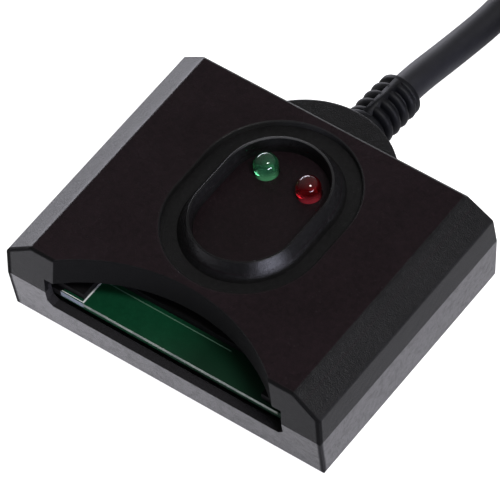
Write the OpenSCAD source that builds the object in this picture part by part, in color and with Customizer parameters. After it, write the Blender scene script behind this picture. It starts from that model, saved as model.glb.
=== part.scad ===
// Desktop reader for contact chip cards, with a captive USB lead.
// The card goes into the front slot, under the thumb cutout, over the board's front edge.
// X runs across the slot, +Y to the lead, +Z up, and the rubber feet stand on Z = 0.

/* [Housing] */
// Width of the housing at its parting line
body_w = 74.6; // [73:0.2:80]
// Depth of the flat top from front edge to back edge
body_d = 56.2; // [55.6:0.2:62]
// Height of the housing without its feet
body_h = 21.5; // [21:0.1:24]
// Width of the flat top between the side bevels
top_w = 62.2; // [56:0.2:66]
// Height of the side bevels
bevel_h = 4.4; // [2:0.1:5]
// Wall of both shells
wall = 2; // [1.6:0.1:2.4]
// Height of the parting line over the underside
parting_h = 10.4; // [10:0.1:11]
// Radius of the round back of the housing
boss_r = 19.3; // [17:0.1:22]
// How far the round back stands out behind the flat back
boss_out = 7.4; // [6:0.1:9]
// Drop from the flat top to the top of the round back
boss_drop = 3.5; // [2.5:0.1:5]

/* [Card slot] */
// Width of a card
card_w = 54; // [53.9:0.1:54.1]
// Thickness of a card
card_t = 0.8; // [0.7:0.05:0.9]
// Width of the slot in the front
slot_w = 56.4; // [55.4:0.1:57]
// Height of the slot above and below the parting line
slot_half_h = 3.9; // [3.6:0.1:4.2]
// Radius of the thumb cutout
cutout_r = 40.3; // [37:0.1:46]
// Depth of the thumb cutout behind the front edge
cutout_d = 9.1; // [7:0.1:9.2]

/* [Status well] */
// Distance of the well's middle before the back edge
well_back = 23.7; // [23:0.1:24.2]
// Half the straight length of the well's outline
well_half = 4.8; // [4:0.1:5.5]
// Radius of the moat round the collar
moat_r = 16.7; // [16:0.1:17]
// Depth of the moat
moat_depth = 1.5; // [0.6:0.1:1.6]
// Radius of the collar at its foot
collar_foot_r = 13.5; // [13:0.1:14.4]
// Radius of the collar at its crest
collar_crest_r = 11.3; // [11:0.1:11.8]
// Height of the crest over the flat top
collar_rise = 2.1; // [1.5:0.1:3]
// Radius of the well at its floor
well_r = 10.4; // [10:0.1:10.6]
// Depth of the well's floor under the flat top
well_depth = 1.6; // [1.2:0.1:2]

/* [Lamps] */
// Diameter of a lamp
led_d = 5; // [4.8:0.1:5.2]
// Distance between the two lamps
led_pitch = 10.16; // [9.6:0.02:11]
// Distance of the lamps before the back edge
led_back = 15.3; // [14.6:0.1:15.6]

/* [Lead] */
// Diameter of the lead
lead_d = 6.5; // [6:0.1:6.6]
// Mean radius of the outer turn of the stored coil
coil_outer_r = 47; // [46:0.5:50]
// Turns of the stored coil
coil_turns = 6.5; // [4.5:1:6.5]
// Step from one turn to the next, across and up
coil_step = 7; // [6.95:0.05:7.2]

/* [Hidden] */
$fn = 48;

// Overrun of every cut
over = 1;
// Sides of a small screw head's drive
drive_sides = 6;

// Housing drafts and edges
side_draft_up = 0.2;
side_draft_low = 0.4;
end_draft_up = 0.8;
end_draft_low = 0.7;
edge_r = 0.5;
shoulder_r = 0.9;
arc_steps = 3;
tongue_t = 0.9;
tongue_h = 1.2;
tongue_gap = 0.1;
slot_chamfer = 1.2;
rim_r = 0.4;
crest_r = 0.2;
skirt_lift = 0.1;

// Feet
foot_r = 4.5;
foot_rise = 0.9;
foot_sink = 0.6;
foot_inset = 9.5;
foot_edge = 0.4;
foot_aside = 8.3;

// Housing screws and their posts
post_r = 2.8;
post_gap = 0.3;
post_base_r = 3.3;
post_seat_t = 1.4;
post_inset = 7.2;
web_t = 1.2;
screw_r = 1.1;
screw_fit = 0.05;
screw_pass = 0.25;
screw_grip = 5.6;
screw_head_r = 2.1;
screw_head_h = 1.5;
head_gap = 0.3;
head_depth = 4.2;
drive_r = 0.8;
drive_depth = 0.8;

// Heights
base_z = foot_rise;
parting_z = base_z + parting_h;
top_z = base_z + body_h;
shoulder_z = top_z - bevel_h;
boss_top = top_z - boss_drop;
slot_low = parting_z - slot_half_h;
slot_high = parting_z + slot_half_h;
floor_z = base_z + wall;
roof_z = top_z - wall;

// Places along Y, from the front edge of the flat top
front_y = (end_draft_up - body_d - boss_out) / 2;
back_y = front_y + body_d;
boss_end = back_y + boss_out;
boss_y = boss_end - boss_r;
cutout_y = front_y + cutout_d - cutout_r;
ring_y = back_y - well_back;
lamp_y = back_y - led_back;

// Inside widths
inner_half = body_w / 2 - side_draft_low - wall;
post_x = inner_half - post_r - post_gap;
post_front = front_y + post_inset;
post_back = back_y - post_inset;
foot_x = post_x - foot_aside;

// Circuit board
board_t = 1.6;
board_gap = 0.3;
board_side_gap = 1.9;
board_back_gap = 1.7;
board_drop = 0.8;
board_top = parting_z - board_drop;
board_low = board_top - board_t;
board_half = inner_half - board_side_gap;
board_front = front_y - end_draft_up + wall + board_gap;
board_back = back_y - wall - board_back_gap;
rest_r = 1.8;
board_screw_aside = 7.1;
board_screw_x = board_half - board_screw_aside;
board_screw_inset = 10;
board_screw_y = board_back - board_screw_inset;
board_screw_r = 1;
board_screw_len = 5;
board_post_r = 2.4;
board_head_r = 1.9;
board_head_h = 1.3;

// Card connector
floor_t = 1.6;
guide_gap = 0.2;
guide_t = 1.2;
guide_h = 1;
arm_w = 7.2;
arm_lead = 0.9;
bridge_share = 0.19;
stop_inset = 15.5;
stop_t = 2.4;
peg_r = 0.9;
peg_len = 1.2;
peg_fit = 0.05;
peg_inset = 2.2;
guide_inner = card_w / 2 + guide_gap;
guide_outer = guide_inner + guide_t;
arm_inner = guide_outer - arm_w;
plate_top = board_top + floor_t;
guide_top = plate_top + card_t + guide_h;
arm_front = board_front + arm_lead;
stop_y = board_back - stop_inset;
bridge_front = arm_front + bridge_share * (stop_y - arm_front);
conn_back = stop_y + stop_t;

// Chip contacts, as the card standard places them from the card's leading edge
pad_first = 11.25;
pad_second = 18.87;
pad_offset = -3.1;
pad_pitch = 2.54;
pad_shares = [-1.5, -0.5, 0.5, 1.5];
window_w = 1.9;
window_front = 1;
window_back = 2.2;
spring_w = 1.2;
spring_t = 0.2;
spring_len = 5.5;
spring_rise = 0.7;
spring_root_r = 0.3;
spring_root_drop = 0.75;
spring_tip = 1.1;
spring_tip_drop = 0.6;
tail_gap = 0.15;
tail_foot = 0.9;

// Card switch: a blade along X that the card's edge presses back by its nose
switch_x = 25;
switch_len = 8.4;
switch_t = 0.25;
switch_nose_at = 6.4;
switch_nose_w = 0.6;
switch_nose_run = 1.1;
switch_nose_out = 0.5;
switch_back = 0.45;
switch_low = 0.2;
switch_high = 3.2;
switch_root_r = 0.35;
anvil_w = 0.9;
anvil_t = 0.25;
anvil_gap = 0.75;
pocket_side = 0.9;
pocket_front = 0.8;
pocket_back = 0.6;
switch_y = stop_y + switch_back;

// Lamps and their leads
dome_lift = 0.2;
lamp_len = 8.6;
flange_t = 1;
flange_out = 0.4;
lamp_fit = 0.1;
sleeve_t = 1.1;
sleeve_gap = 0.1;
well_floor_t = 1.6;
crest_flat = 0.45;
lead_leg = 0.5;
lead_leg_pitch = 2.54;
leg_below = 1.2;
leg_hole_r = 0.55;

// Parts on the board behind the connector
chip_l = 10.2;
chip_w = 5.3;
chip_h = 1.75;
chip_lift = 0.15;
chip_x = -12.6;
chip_inset = 8.4;
leg_count = 14;
leg_pitch = 0.65;
leg_w = 0.3;
leg_t = 0.15;
leg_reach = 1.25;
leg_bend_share = 0.4;
leg_high_share = 0.5;
crystal_l = 11.4;
crystal_w = 4.7;
crystal_h = 3.5;
crystal_rim = 0.25;
crystal_x = 9.8;
crystal_inset = 6.6;
cap_r = 2.5;
cap_h = 6;
cap_x = 15.4;
cap_inset = 9.8;
cap_base = 0.7;
cap_neck = 0.25;
reg_l = 6.5;
reg_w = 3.5;
reg_h = 1.6;
reg_x = 16.2;
reg_inset = 4;
reg_leg_w = 0.75;
reg_leg_pitch = 2.3;
reg_tab_w = 3;
chip_cap_size = [1.6, 0.8, 0.8];
chip_res_size = [1.6, 0.8, 0.45];
chip_cap_places = [[-15.6, 2.6], [-12.4, 2.6], [-9.2, 2.6], [0, 12.1], [21, 4]];
chip_res_places = [[-20.4, 4.4], [-20.4, 2.6], [-15.6, 1.2], [-12.4, 1.2], [-7, 3.4], [21, 5.6],
    [21, 2.4]];

// Cable header, its plug and the four wires
header_w = 11.8;
header_d = 6.4;
header_h = 4.8;
header_t = 0.8;
header_inset = 10;
header_gap = 0.1;
header_pins_n = 4;
header_pitch = 2;
pin_w = 0.6;
crimp_out = 2.2;
wire_r = 0.6;
wire_side_share = 0.55;
jacket_len = 3.4;

// Strain relief
relief_r = 5;
relief_end_r = 4.75;
relief_neck_r = 3.9;
relief_fit = 0.1;
flange_r = 5.4;
relief_flange_t = 1.6;
flange_gap = 0.1;
relief_len = 14;
relief_lift = 0.7;
relief_droop = 6;
rib_pitch = 2.6;
rib_slot = 1.2;
rib_first = 2.1;
rib_slots = 4;
rib_core_r = 3.65;
rib_bridge = 1.6;

flange_back = boss_y + sqrt(pow(boss_r - wall, 2) - pow(flange_r, 2)) - flange_gap;

// Lead: its exit square to the relief, the height that it lies at, and its free stretches
relief_dir = [0, cos(relief_droop), -sin(relief_droop)];
exit_point = [0, boss_end, parting_z] + relief_len * relief_dir;
lie_z = lead_d / 2;
coil_x = 48;
coil_y = 101;
coil_in_x = coil_x - coil_outer_r;
coil_out_x = coil_x + coil_outer_r;
coil_high = lie_z + coil_step;
climb_share = 0.5;
lead_sides = 8;
coil_sides = 6;
coil_rings = 24;
lead_route = [exit_point, exit_point + lead_d / 2 * relief_dir, [0, 52.5, 8.7], [0, 56.3, 7.4],
    [0, 60.4, 6.1], [0.1, 64.5, 5.1], [0.3, 69, 4.2], [0.7, 73.5, 3.5], [1, 78, lie_z],
    [1, 86, lie_z], [coil_in_x, coil_y - lead_d, lie_z]];
tail_route = [[coil_out_x, coil_y - lead_d, coil_high], [95, 90, coil_high], [95, 84, 9.3],
    [95, 77, 7], [95, 70, 5.1], [95, 64, 4.4], [95, 60, 4.2], [95, 56, 4.2]];
plug_start = tail_route[len(tail_route) - 1];

// USB plug
grip_w = 15.8;
grip_h = 8.4;
grip_len = 27;
grip_r = 2.6;
grip_waist = 1.2;
neck_len = 10;
neck_r = 3.9;
plug_w = 12;
plug_h = 4.5;
plug_len = 18.7;
plug_wall = 0.3;
plug_hole_w = 2.4;
plug_hole_l = 2.6;
plug_hole_x = 2.85;
plug_hole_inset = 5.2;
tongue_w = 11.2;
tongue_thick = 1.8;
tongue_back = 0.4;
gold_w = 1.1;
gold_t = 0.15;
gold_long = 7.4;
gold_short = 6.4;
gold_shares = [-1.5, -0.5, 0.5, 1.5];
gold_pitch = 2.3;

// Points and outlines

function unit(v) = v / norm(v);

// The arc of radius r that rounds corner b between its neighbours a and c
function corner_arc(a, b, c, r) = let (
    u = unit(a - b),
    v = unit(c - b),
    half = acos(u * v) / 2,
    centre = b + unit(u + v) * r / sin(half),
    p = b + u * r / tan(half) - centre,
    q = b + v * r / tan(half) - centre,
    from = atan2(p[1], p[0]),
    turn = (atan2(q[1], q[0]) - from + 540) % 360 - 180)
    [for (i = [0 : arc_steps]) let (t = from + turn * i / arc_steps) centre + r * [cos(t), sin(t)]];

// An outline with the corner radii in radii, zero where a corner stays sharp
function softened(points, radii) = let (n = len(points)) [for (i = [0 : n - 1])
    each radii[i] > 0 ? corner_arc(points[(i + n - 1) % n], points[i], points[(i + 1) % n], radii[i])
        : [points[i]]];

// Corners of the housing across X, drawn in by inset, right side from top to bottom
function side_corners(inset) = let (
    shoulder = body_w / 2 - side_draft_up,
    rake = atan2(bevel_h, shoulder - top_w / 2))
    [[top_w / 2 - inset * tan(rake / 2), top_z - inset],
    [shoulder - inset, shoulder_z - inset * tan((90 - rake) / 2)],
    [body_w / 2 - inset, parting_z],
    [body_w / 2 - side_draft_low - inset, base_z + inset]];

function mirrored(points) = [for (i = [len(points) - 1 : -1 : 0]) [-points[i][0], points[i][1]]];

function across(inset) = let (
    right = side_corners(inset),
    e = inset > 0 ? 0 : edge_r,
    s = inset > 0 ? 0 : shoulder_r)
    softened(concat(right, mirrored(right)), [s, s, 0, e, e, 0, s, s]);

function along(inset) = let (e = inset > 0 ? 0 : edge_r)
    softened([[front_y + inset, top_z - inset],
    [front_y - end_draft_up + inset, parting_z],
    [front_y - end_draft_up + end_draft_low + inset, base_z + inset],
    [back_y + end_draft_up - end_draft_low - inset, base_z + inset],
    [back_y + end_draft_up - inset, parting_z],
    [back_y - inset, top_z - inset]], [e, 0, e, e, 0, e]);

// Tubes

// A ring of a tube: n points of radius r round p, square to direction d
function ring(p, d, r, n) = let (
    side = unit(cross(d, [0, 0, 1])),
    rise = cross(side, d))
    [for (i = [0 : n - 1]) let (t = 360 * (i + 0.5) / n) p + r * (cos(t) * side + sin(t) * rise)];

// The direction of a route at its point i
function heading(route, i) = let (n = len(route) - 1)
    i == 0 ? unit(route[1] - route[0])
    : i == n ? unit(route[n] - route[n - 1])
    : unit(unit(route[i] - route[i - 1]) + unit(route[i + 1] - route[i]));

module tube(route, r, n) {
    rings = len(route);
    points = [for (i = [0 : rings - 1]) each ring(route[i], heading(route, i), r, n)];
    sides = [for (i = [0 : rings - 2], j = [0 : n - 1]) let (
        a = i * n + j,
        b = i * n + (j + 1) % n)
        each [[a, a + n, b], [b, a + n, b + n]]];
    caps = [for (j = [1 : n - 2]) each [[0, j, j + 1],
        [(rings - 1) * n, (rings - 1) * n + j + 1, (rings - 1) * n + j]]];
    polyhedron(points, concat(sides, caps));
}

// The stored coil: in along the lower layer, up while it reverses, and out along the upper one
function coil_point(t) = let (
    half = coil_turns / 2,
    r = coil_outer_r - coil_step * min(t, coil_turns - t),
    climb = max(0, min(1, (t - half) / climb_share + 0.5)),
    angle = 180 - 360 * t)
    [coil_x + r * cos(angle), coil_y + r * sin(angle), lie_z + coil_step * climb];

coil_steps = coil_turns * coil_rings;
coil_route = concat([[coil_in_x, coil_y - lead_d, lie_z]],
    [for (i = [0 : coil_steps]) coil_point(i / coil_rings)],
    [[coil_out_x, coil_y - lead_d, coil_high]]);

// Least distance between turns, on the centre line's points, less the diameter
coil_gap = min([for (i = [0 : coil_steps - coil_rings / 2], j = [i + coil_rings / 2 : coil_steps])
    norm(coil_point(i / coil_rings) - coil_point(j / coil_rings))]) - lead_d;
echo(coil_gap = coil_gap);

// Small shapes

module at_posts() {
    for (x = [-post_x, post_x], y = [post_front, post_back])
        translate([x, y, 0])
            children();
}

module rod(r, low, high) {
    translate([0, 0, low])
        cylinder(r = r, h = high - low);
}

module box(low, high) {
    translate(low)
        cube(high - low);
}

// Half the section of a round or oblong form, r1 wide at height low and r2 at height high, with its
// upper edge rounded
function flank(r1, r2, low, high, edge) =
    softened([[0, low], [r1, low], [r2, high], [0, high]], [0, 0, edge, 0]);

// The same for a cut, which rounds the rim that it leaves at height high
function cut_flank(r1, r2, low, high, edge, end) = let (flare = r2 + 2 * edge)
    softened([[0, low], [r1, low], [r2, high], [flare, high], [flare, end], [0, end]],
    [0, 0, edge, 0, 0, 0]);

// A solid with the well's outline and the half section in half
module obround(half) {
    outer = [for (p = half) if (p[0] > 0) p];
    for (y = [-well_half, well_half])
        translate([0, ring_y + y, 0])
            rotate_extrude($fn = 96)
                polygon(half);
    translate([0, ring_y + well_half, 0])
        rotate([90, 0, 0])
            linear_extrude(height = 2 * well_half)
                polygon(concat(outer, mirrored(outer)));
}

module collar() {
    obround(flank(collar_foot_r, collar_crest_r, top_z - moat_depth, top_z + collar_rise, crest_r));
}

// Housing

// The closed outer form of the housing, drawn in by inset on every side
module form(inset) {
    intersection() {
        translate([0, boss_end, 0])
            rotate([90, 0, 0])
                linear_extrude(height = boss_end - front_y + 2 * end_draft_up)
                    polygon(across(inset));
        translate([-body_w / 2, 0, 0])
            rotate([90, 0, 90])
                linear_extrude(height = body_w)
                    polygon(along(inset));
    }
    intersection() {
        translate([0, boss_y, 0])
            rotate_extrude($fn = 96)
                polygon(boss_outline(inset));
        box([-body_w, back_y - 2 * wall, 0], [body_w, boss_end, top_z]);
    }
}

function boss_outline(inset) = let (e = inset > 0 ? 0 : edge_r)
    softened([[0, base_z + inset], [boss_r - inset, base_z + inset],
    [boss_r - inset, boss_top - inset], [0, boss_top - inset]], [0, e, e, 0]);

// What lies in the wall's inner part at the parting line, where one shell's tongue fits the other
module tongue(inset, inner, high) {
    intersection() {
        difference() {
            form(inset);
            form(inner);
        }
        box([-body_w, front_y - body_d, parting_z - over], [body_w, boss_end, high]);
    }
}

module slot_cut() {
    translate([0, front_y + wall + over, 0])
        rotate([90, 0, 0])
            linear_extrude(height = wall + end_draft_up + 2 * over)
                polygon([[-slot_w / 2, slot_high], [-slot_w / 2, slot_low + slot_chamfer],
                    [slot_chamfer - slot_w / 2, slot_low], [slot_w / 2 - slot_chamfer, slot_low],
                    [slot_w / 2, slot_low + slot_chamfer], [slot_w / 2, slot_high]]);
}

module cutout_cut() {
    translate([0, cutout_y, 0])
        rotate_extrude($fn = 192)
            polygon(cut_flank(cutout_r, cutout_r, slot_high - over, top_z, rim_r,
                top_z + collar_rise + over));
}

// The skirt that closes the top shell behind the thumb cutout
module cutout_skirt() {
    intersection() {
        form(0);
        translate([0, cutout_y, slot_high + skirt_lift])
            cylinder(r = cutout_r + wall, h = top_z - slot_high, $fn = 192);
    }
}

module relief_cut() {
    translate([0, boss_end + over, parting_z])
        rotate([90, 0, 0])
            cylinder(r = relief_neck_r + relief_fit, h = 2 * wall + over);
}

// The web that ties a screw post to the side wall
module post_web(low, high) {
    for (side = [-1, 1], y = [post_front, post_back])
        mirror([side < 0 ? 1 : 0, 0, 0])
            box([post_x, y - web_t / 2, low], [inner_half + wall / 2, y + web_t / 2, high]);
}

module top_shell() {
    pad_z = top_z - well_depth - well_floor_t;
    flange_top = top_z + dome_lift + led_d / 2 - lamp_len + flange_t;
    color("#1d1d20")
        difference() {
            union() {
                difference() {
                    form(0);
                    form(wall);
                }
                cutout_skirt();
                obround(flank(moat_r + wall, moat_r + wall, pad_z, roof_z + wall / 2, 0));
                for (x = [-led_pitch / 2, led_pitch / 2])
                    translate([x, lamp_y, 0])
                        rod(led_d / 2 + lamp_fit + sleeve_t, flange_top + sleeve_gap, pad_z + over / 2);
                intersection() {
                    form(wall / 2);
                    union() {
                        at_posts()
                            rod(post_r, parting_z, top_z);
                        post_web(parting_z, top_z);
                    }
                }
                collar();
            }
            box([-body_w, front_y - body_d, 0], [body_w, boss_end + over, parting_z]);
            tongue(wall - tongue_t - tongue_gap, wall + tongue_gap, parting_z + tongue_h + tongue_gap);
            slot_cut();
            cutout_cut();
            difference() {
                obround(cut_flank(moat_r, moat_r, top_z - moat_depth, top_z, rim_r, top_z + over));
                collar();
            }
            obround(cut_flank(well_r, collar_crest_r - crest_flat, top_z - well_depth,
                top_z + collar_rise, crest_r, top_z + collar_rise + over));
            for (x = [-led_pitch / 2, led_pitch / 2])
                translate([x, lamp_y, 0])
                    rod(led_d / 2 + lamp_fit, parting_z, top_z);
            at_posts()
                rod(screw_r + screw_fit, parting_z - over, parting_z + screw_grip + over);
            relief_cut();
        }
}

module bottom_shell() {
    color("#1b1b1e")
        difference() {
            union() {
                difference() {
                    form(0);
                    form(wall);
                    box([-body_w, front_y - body_d, parting_z], [body_w, boss_end + over, top_z + over]);
                }
                tongue(wall - tongue_t, wall, parting_z + tongue_h);
                intersection() {
                    form(wall / 2);
                    union() {
                        at_posts()
                            rod(post_r, base_z, parting_z);
                        post_web(base_z, parting_z);
                    }
                }
                for (x = [-board_screw_x, board_screw_x])
                    translate([x, board_screw_y, 0])
                        rod(board_post_r, base_z + wall / 2, board_low);
                for (x = [-board_screw_x, 0, board_screw_x])
                    translate([x, bridge_front, 0])
                        rod(rest_r, base_z + wall / 2, board_low);
                intersection() {
                    form(wall / 2);
                    at_posts()
                        rod(post_base_r, base_z, base_z + head_depth + post_seat_t);
                }
            }
            slot_cut();
            relief_cut();
            at_posts() {
                rod(screw_r + screw_pass, base_z - over, parting_z + over);
                rod(screw_head_r + head_gap, base_z - over, base_z + head_depth);
            }
            for (x = [-board_screw_x, board_screw_x])
                translate([x, board_screw_y, 0])
                    rod(board_screw_r + screw_fit, floor_z, board_low + over);
            at_feet()
                rod(foot_r + screw_fit, base_z - over, base_z + foot_sink);
        }
}

module at_feet() {
    for (x = [-foot_x, foot_x], y = [front_y + foot_inset, back_y - foot_inset])
        translate([x, y, 0])
            children();
}

module rubber_feet() {
    color("#26262a")
        at_feet()
            rotate_extrude()
                polygon(softened([[0, 0], [foot_r, 0], [foot_r, base_z + foot_sink],
                    [0, base_z + foot_sink]], [0, foot_edge, 0, 0]));
}

// A pan-head screw with its seat at height zero and its shank upward
module screw(shank_r, len, head_r, head_h) {
    difference() {
        union() {
            rod(shank_r, 0, len);
            rotate_extrude()
                polygon(softened([[0, -head_h], [head_r, -head_h], [head_r, 0], [0, 0]],
                    [0, head_h / 3, 0, 0]));
        }
        rod(drive_r, -head_h - over, drive_depth - head_h, $fn = drive_sides);
    }
}

module housing_screws() {
    color("#8d9096")
        at_posts()
            translate([0, 0, base_z + head_depth])
                screw(screw_r, parting_h - head_depth + screw_grip, screw_head_r, screw_head_h);
}

// Circuit board and what stands on it

module leg_holes() {
    for (x = [-led_pitch / 2, led_pitch / 2], s = [-1, 1])
        translate([x + s * lead_leg_pitch / 2, lamp_y, 0])
            rod(leg_hole_r, board_low - over, board_top + over, $fn = 16);
}

module circuit_board() {
    color("#1f5c38")
        difference() {
            box([-board_half, board_front, board_low], [board_half, board_back, board_top]);
            at_posts()
                rod(post_r + post_gap, board_low - over, board_top + over);
            for (x = [-board_screw_x, board_screw_x])
                translate([x, board_screw_y, 0])
                    rod(board_screw_r + screw_pass, board_low - over, board_top + over);
            at_pegs()
                rod(peg_r + peg_fit, board_low - over, board_top + over);
            leg_holes();
        }
}

module board_screws() {
    color("#8d9096")
        for (x = [-board_screw_x, board_screw_x])
            translate([x, board_screw_y, board_top])
                rotate([180, 0, 0])
                    screw(board_screw_r, board_screw_len, board_head_r, board_head_h);
}

module at_pegs() {
    for (x = [-1, 1], y = [bridge_front + peg_inset, stop_y - peg_inset])
        translate([x * (guide_inner - peg_inset), y, 0])
            children();
}

// The U-shaped frame that the card lies in: two arms, a bridge, guide walls and a stop
module card_connector() {
    arms = [[-guide_outer, conn_back], [-guide_outer, arm_front], [-arm_inner, arm_front],
        [-arm_inner, bridge_front], [arm_inner, bridge_front], [arm_inner, arm_front],
        [guide_outer, arm_front], [guide_outer, conn_back]];
    walls = [[-guide_outer, conn_back], [-guide_outer, arm_front],
        [-guide_inner - guide_t / 2, arm_front], [-guide_inner, arm_front + guide_t],
        [-guide_inner, stop_y], [guide_inner, stop_y], [guide_inner, arm_front + guide_t],
        [guide_inner + guide_t / 2, arm_front], [guide_outer, arm_front], [guide_outer, conn_back]];
    color("#151517")
        difference() {
            union() {
                translate([0, 0, board_top]) {
                    linear_extrude(height = floor_t)
                        polygon(arms);
                    linear_extrude(height = guide_top - board_top)
                        polygon(walls);
                }
                at_pegs()
                    rod(peg_r, board_top - peg_len, board_top + floor_t / 2);
            }
            at_contacts()
                box([-window_w / 2, -spring_len - window_front, board_top - over],
                    [window_w / 2, window_back, plate_top + over]);
            box([switch_x - switch_len - pocket_side, stop_y - pocket_front, board_top - over],
                [switch_x + pocket_side, conn_back - pocket_back, guide_top + over]);
            at_posts()
                rod(post_r + post_gap, board_low, guide_top + over);
        }
}

// One contact: a strip that rises from its root to a dome and turns down at its tip
module contact_spring() {
    root = plate_top - spring_root_drop;
    crest = plate_top + spring_rise;
    low = spring_t;
    rotate([90, 0, 90])
        translate([0, 0, -spring_w / 2])
            linear_extrude(height = spring_w)
                union() {
                    translate([-spring_len, root])
                        circle(r = spring_root_r, $fn = 16);
                    polygon([[-spring_len, root - low / 2], [-spring_tip, crest - 2 * low],
                        [0, crest - low], [spring_tip, crest - spring_tip_drop - low],
                        [spring_tip, crest - spring_tip_drop], [0, crest],
                        [-spring_tip, crest - low], [-spring_len, root + low / 2]]);
                }
}

// The places of the four front contacts, and of the four rear ones, which face them
module at_row(front) {
    for (share = pad_shares)
        translate([pad_offset + share * pad_pitch, stop_y - (front ? pad_second : pad_first), 0])
            mirror([0, front ? 0 : 1, 0])
                children();
}

module at_contacts() {
    for (front = [true, false])
        at_row(front)
            children();
}

module contact_row_front() {
    color("#c9a24a")
        at_row(true)
            contact_spring();
}

module contact_row_rear() {
    color("#c9a24a")
        at_row(false)
            contact_spring();
}

// The soldered foot of each contact, under its root
module contact_tails() {
    root = plate_top - spring_root_drop;
    color("#c9a24a")
        at_contacts()
            box([-spring_w / 2, -spring_len - tail_foot, board_top],
                [spring_w / 2, tail_foot - spring_len, root - spring_root_r - tail_gap]);
}

// The blade that the card's edge presses back, and the fixed anvil behind its free end
module switch_blade() {
    t = switch_t / 2;
    out = -switch_back - switch_nose_out;
    from = -switch_nose_at;
    color("#c9a24a")
        translate([switch_x, switch_y, board_top + switch_low])
            linear_extrude(height = switch_high - switch_low)
                union() {
                    circle(r = switch_root_r, $fn = 16);
                    polygon([[0, t], [from + switch_nose_run, t], [from, out + switch_t],
                        [from - switch_nose_w, out + switch_t],
                        [from - switch_nose_w - switch_nose_run, t], [-switch_len, t],
                        [-switch_len, -t], [from - switch_nose_w - switch_nose_run - t, -t],
                        [from - switch_nose_w - t, out], [from + t, out],
                        [from + switch_nose_run + t, -t], [0, -t]]);
                }
}

module switch_anvil() {
    y = switch_y + switch_t / 2 + anvil_gap;
    color("#c9a24a")
        box([switch_x - switch_len, y, board_top],
            [switch_x - switch_len + anvil_w, y + anvil_t, board_top + switch_high]);
}

// A lamp: flange, barrel and dome, with a flat on its flange
module lamp() {
    centre = top_z + dome_lift;
    low = centre + led_d / 2 - lamp_len;
    difference() {
        union() {
            rod(led_d / 2 + flange_out, low, low + flange_t);
            rod(led_d / 2, low, centre);
            translate([0, 0, centre])
                sphere(r = led_d / 2);
        }
        translate([led_d / 2, -led_d, low - over])
            cube([led_d, 2 * led_d, flange_t + over]);
    }
}

module led_green() {
    color("#6fae6a", 0.8)
        translate([-led_pitch / 2, lamp_y, 0])
            lamp();
}

module led_red() {
    color("#8e2f38", 0.8)
        translate([led_pitch / 2, lamp_y, 0])
            lamp();
}

module led_leads() {
    low = top_z + dome_lift + led_d / 2 - lamp_len;
    color("#b9bcc2")
        for (x = [-led_pitch / 2, led_pitch / 2], s = [-1, 1])
            translate([x + s * lead_leg_pitch / 2 - lead_leg / 2, lamp_y - lead_leg / 2, 0])
                translate([0, 0, board_low - leg_below])
                    cube([lead_leg, lead_leg, low - board_low + leg_below]);
}

module reader_chip() {
    color("#202024")
        translate([chip_x - chip_l / 2, board_back - chip_inset - chip_w / 2, board_top + chip_lift])
            cube([chip_l, chip_w, chip_h]);
}

// A gull-wing leg that leaves a body's side at y = 0 towards +Y
module gull_leg(w, reach, lift) {
    bend = reach * leg_bend_share;
    translate([w / 2, 0, 0])
        rotate([90, 0, -90])
            linear_extrude(height = w)
                polygon([[0, lift], [0, lift + leg_t], [-bend, lift + leg_t], [-bend - leg_t, leg_t],
                    [-reach, leg_t], [-reach, 0], [-bend, 0], [leg_t - bend, lift]]);
}

module chip_legs() {
    chip_y = board_back - chip_inset;
    reg_y = board_back - reg_inset;
    lift = chip_lift + chip_h * leg_high_share;
    color("#b9bcc2")
        translate([0, 0, board_top]) {
            for (i = [0 : leg_count - 1], turn = [0, 180])
                translate([chip_x, chip_y, 0])
                    rotate([0, 0, turn])
                        translate([(i - (leg_count - 1) / 2) * leg_pitch, chip_w / 2, 0])
                            gull_leg(leg_w, leg_reach, lift);
            for (i = [-1 : 1])
                translate([reg_x + i * reg_leg_pitch, reg_y + reg_w / 2, 0])
                    gull_leg(reg_leg_w, leg_reach, reg_h * leg_high_share);
            translate([reg_x, reg_y - reg_w / 2, 0])
                rotate([0, 0, 180])
                    gull_leg(reg_tab_w, leg_reach, reg_h * leg_high_share);
        }
}

module voltage_regulator() {
    color("#202024")
        translate([reg_x - reg_l / 2, board_back - reg_inset - reg_w / 2, board_top])
            translate([0, 0, leg_t])
                cube([reg_l, reg_w, reg_h - leg_t]);
}

module can_outline(grow) {
    for (s = [-1, 1])
        translate([s * (crystal_l - crystal_w) / 2, 0])
            circle(r = crystal_w / 2 + grow);
    square([crystal_l - crystal_w, crystal_w + 2 * grow], center = true);
}

module crystal() {
    color("#b9bcc2")
        translate([crystal_x, board_back - crystal_inset, board_top])
            rotate([0, 0, 90]) {
                linear_extrude(height = crystal_rim * 2)
                    can_outline(crystal_rim);
                linear_extrude(height = crystal_h)
                    can_outline(0);
            }
}

module electrolytic_capacitor() {
    color("#3a3f55")
        translate([cap_x, board_back - cap_inset, board_top])
            rotate_extrude()
                polygon([[0, 0], [cap_r, 0], [cap_r, cap_base], [cap_r - cap_neck, cap_base + cap_neck],
                    [cap_r, cap_base + 2 * cap_neck], [cap_r, cap_h - cap_neck],
                    [cap_r - cap_neck, cap_h], [0, cap_h]]);
}

// Small chip parts, placed from the board's middle and from its back edge
module chip_parts(places, size) {
    for (p = places)
        translate([p[0] - size[0] / 2, board_back - p[1] - size[1] / 2, board_top])
            cube(size);
}

module chip_capacitors() {
    color("#a98b62")
        chip_parts(chip_cap_places, chip_cap_size);
}

module chip_resistors() {
    color("#2a2a2e")
        chip_parts(chip_res_places, chip_res_size);
}

// The header: a low box, open to the back, that the wires' plug slides into
module cable_header() {
    y = board_back - header_inset;
    color("#e4e1d6")
        difference() {
            box([-header_w / 2, y, board_top], [header_w / 2, y + header_d, board_top + header_h]);
            box([header_t - header_w / 2, y + header_t, board_top + header_t],
                [header_w / 2 - header_t, y + header_d + over, board_top + header_h - header_t]);
        }
}

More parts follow.
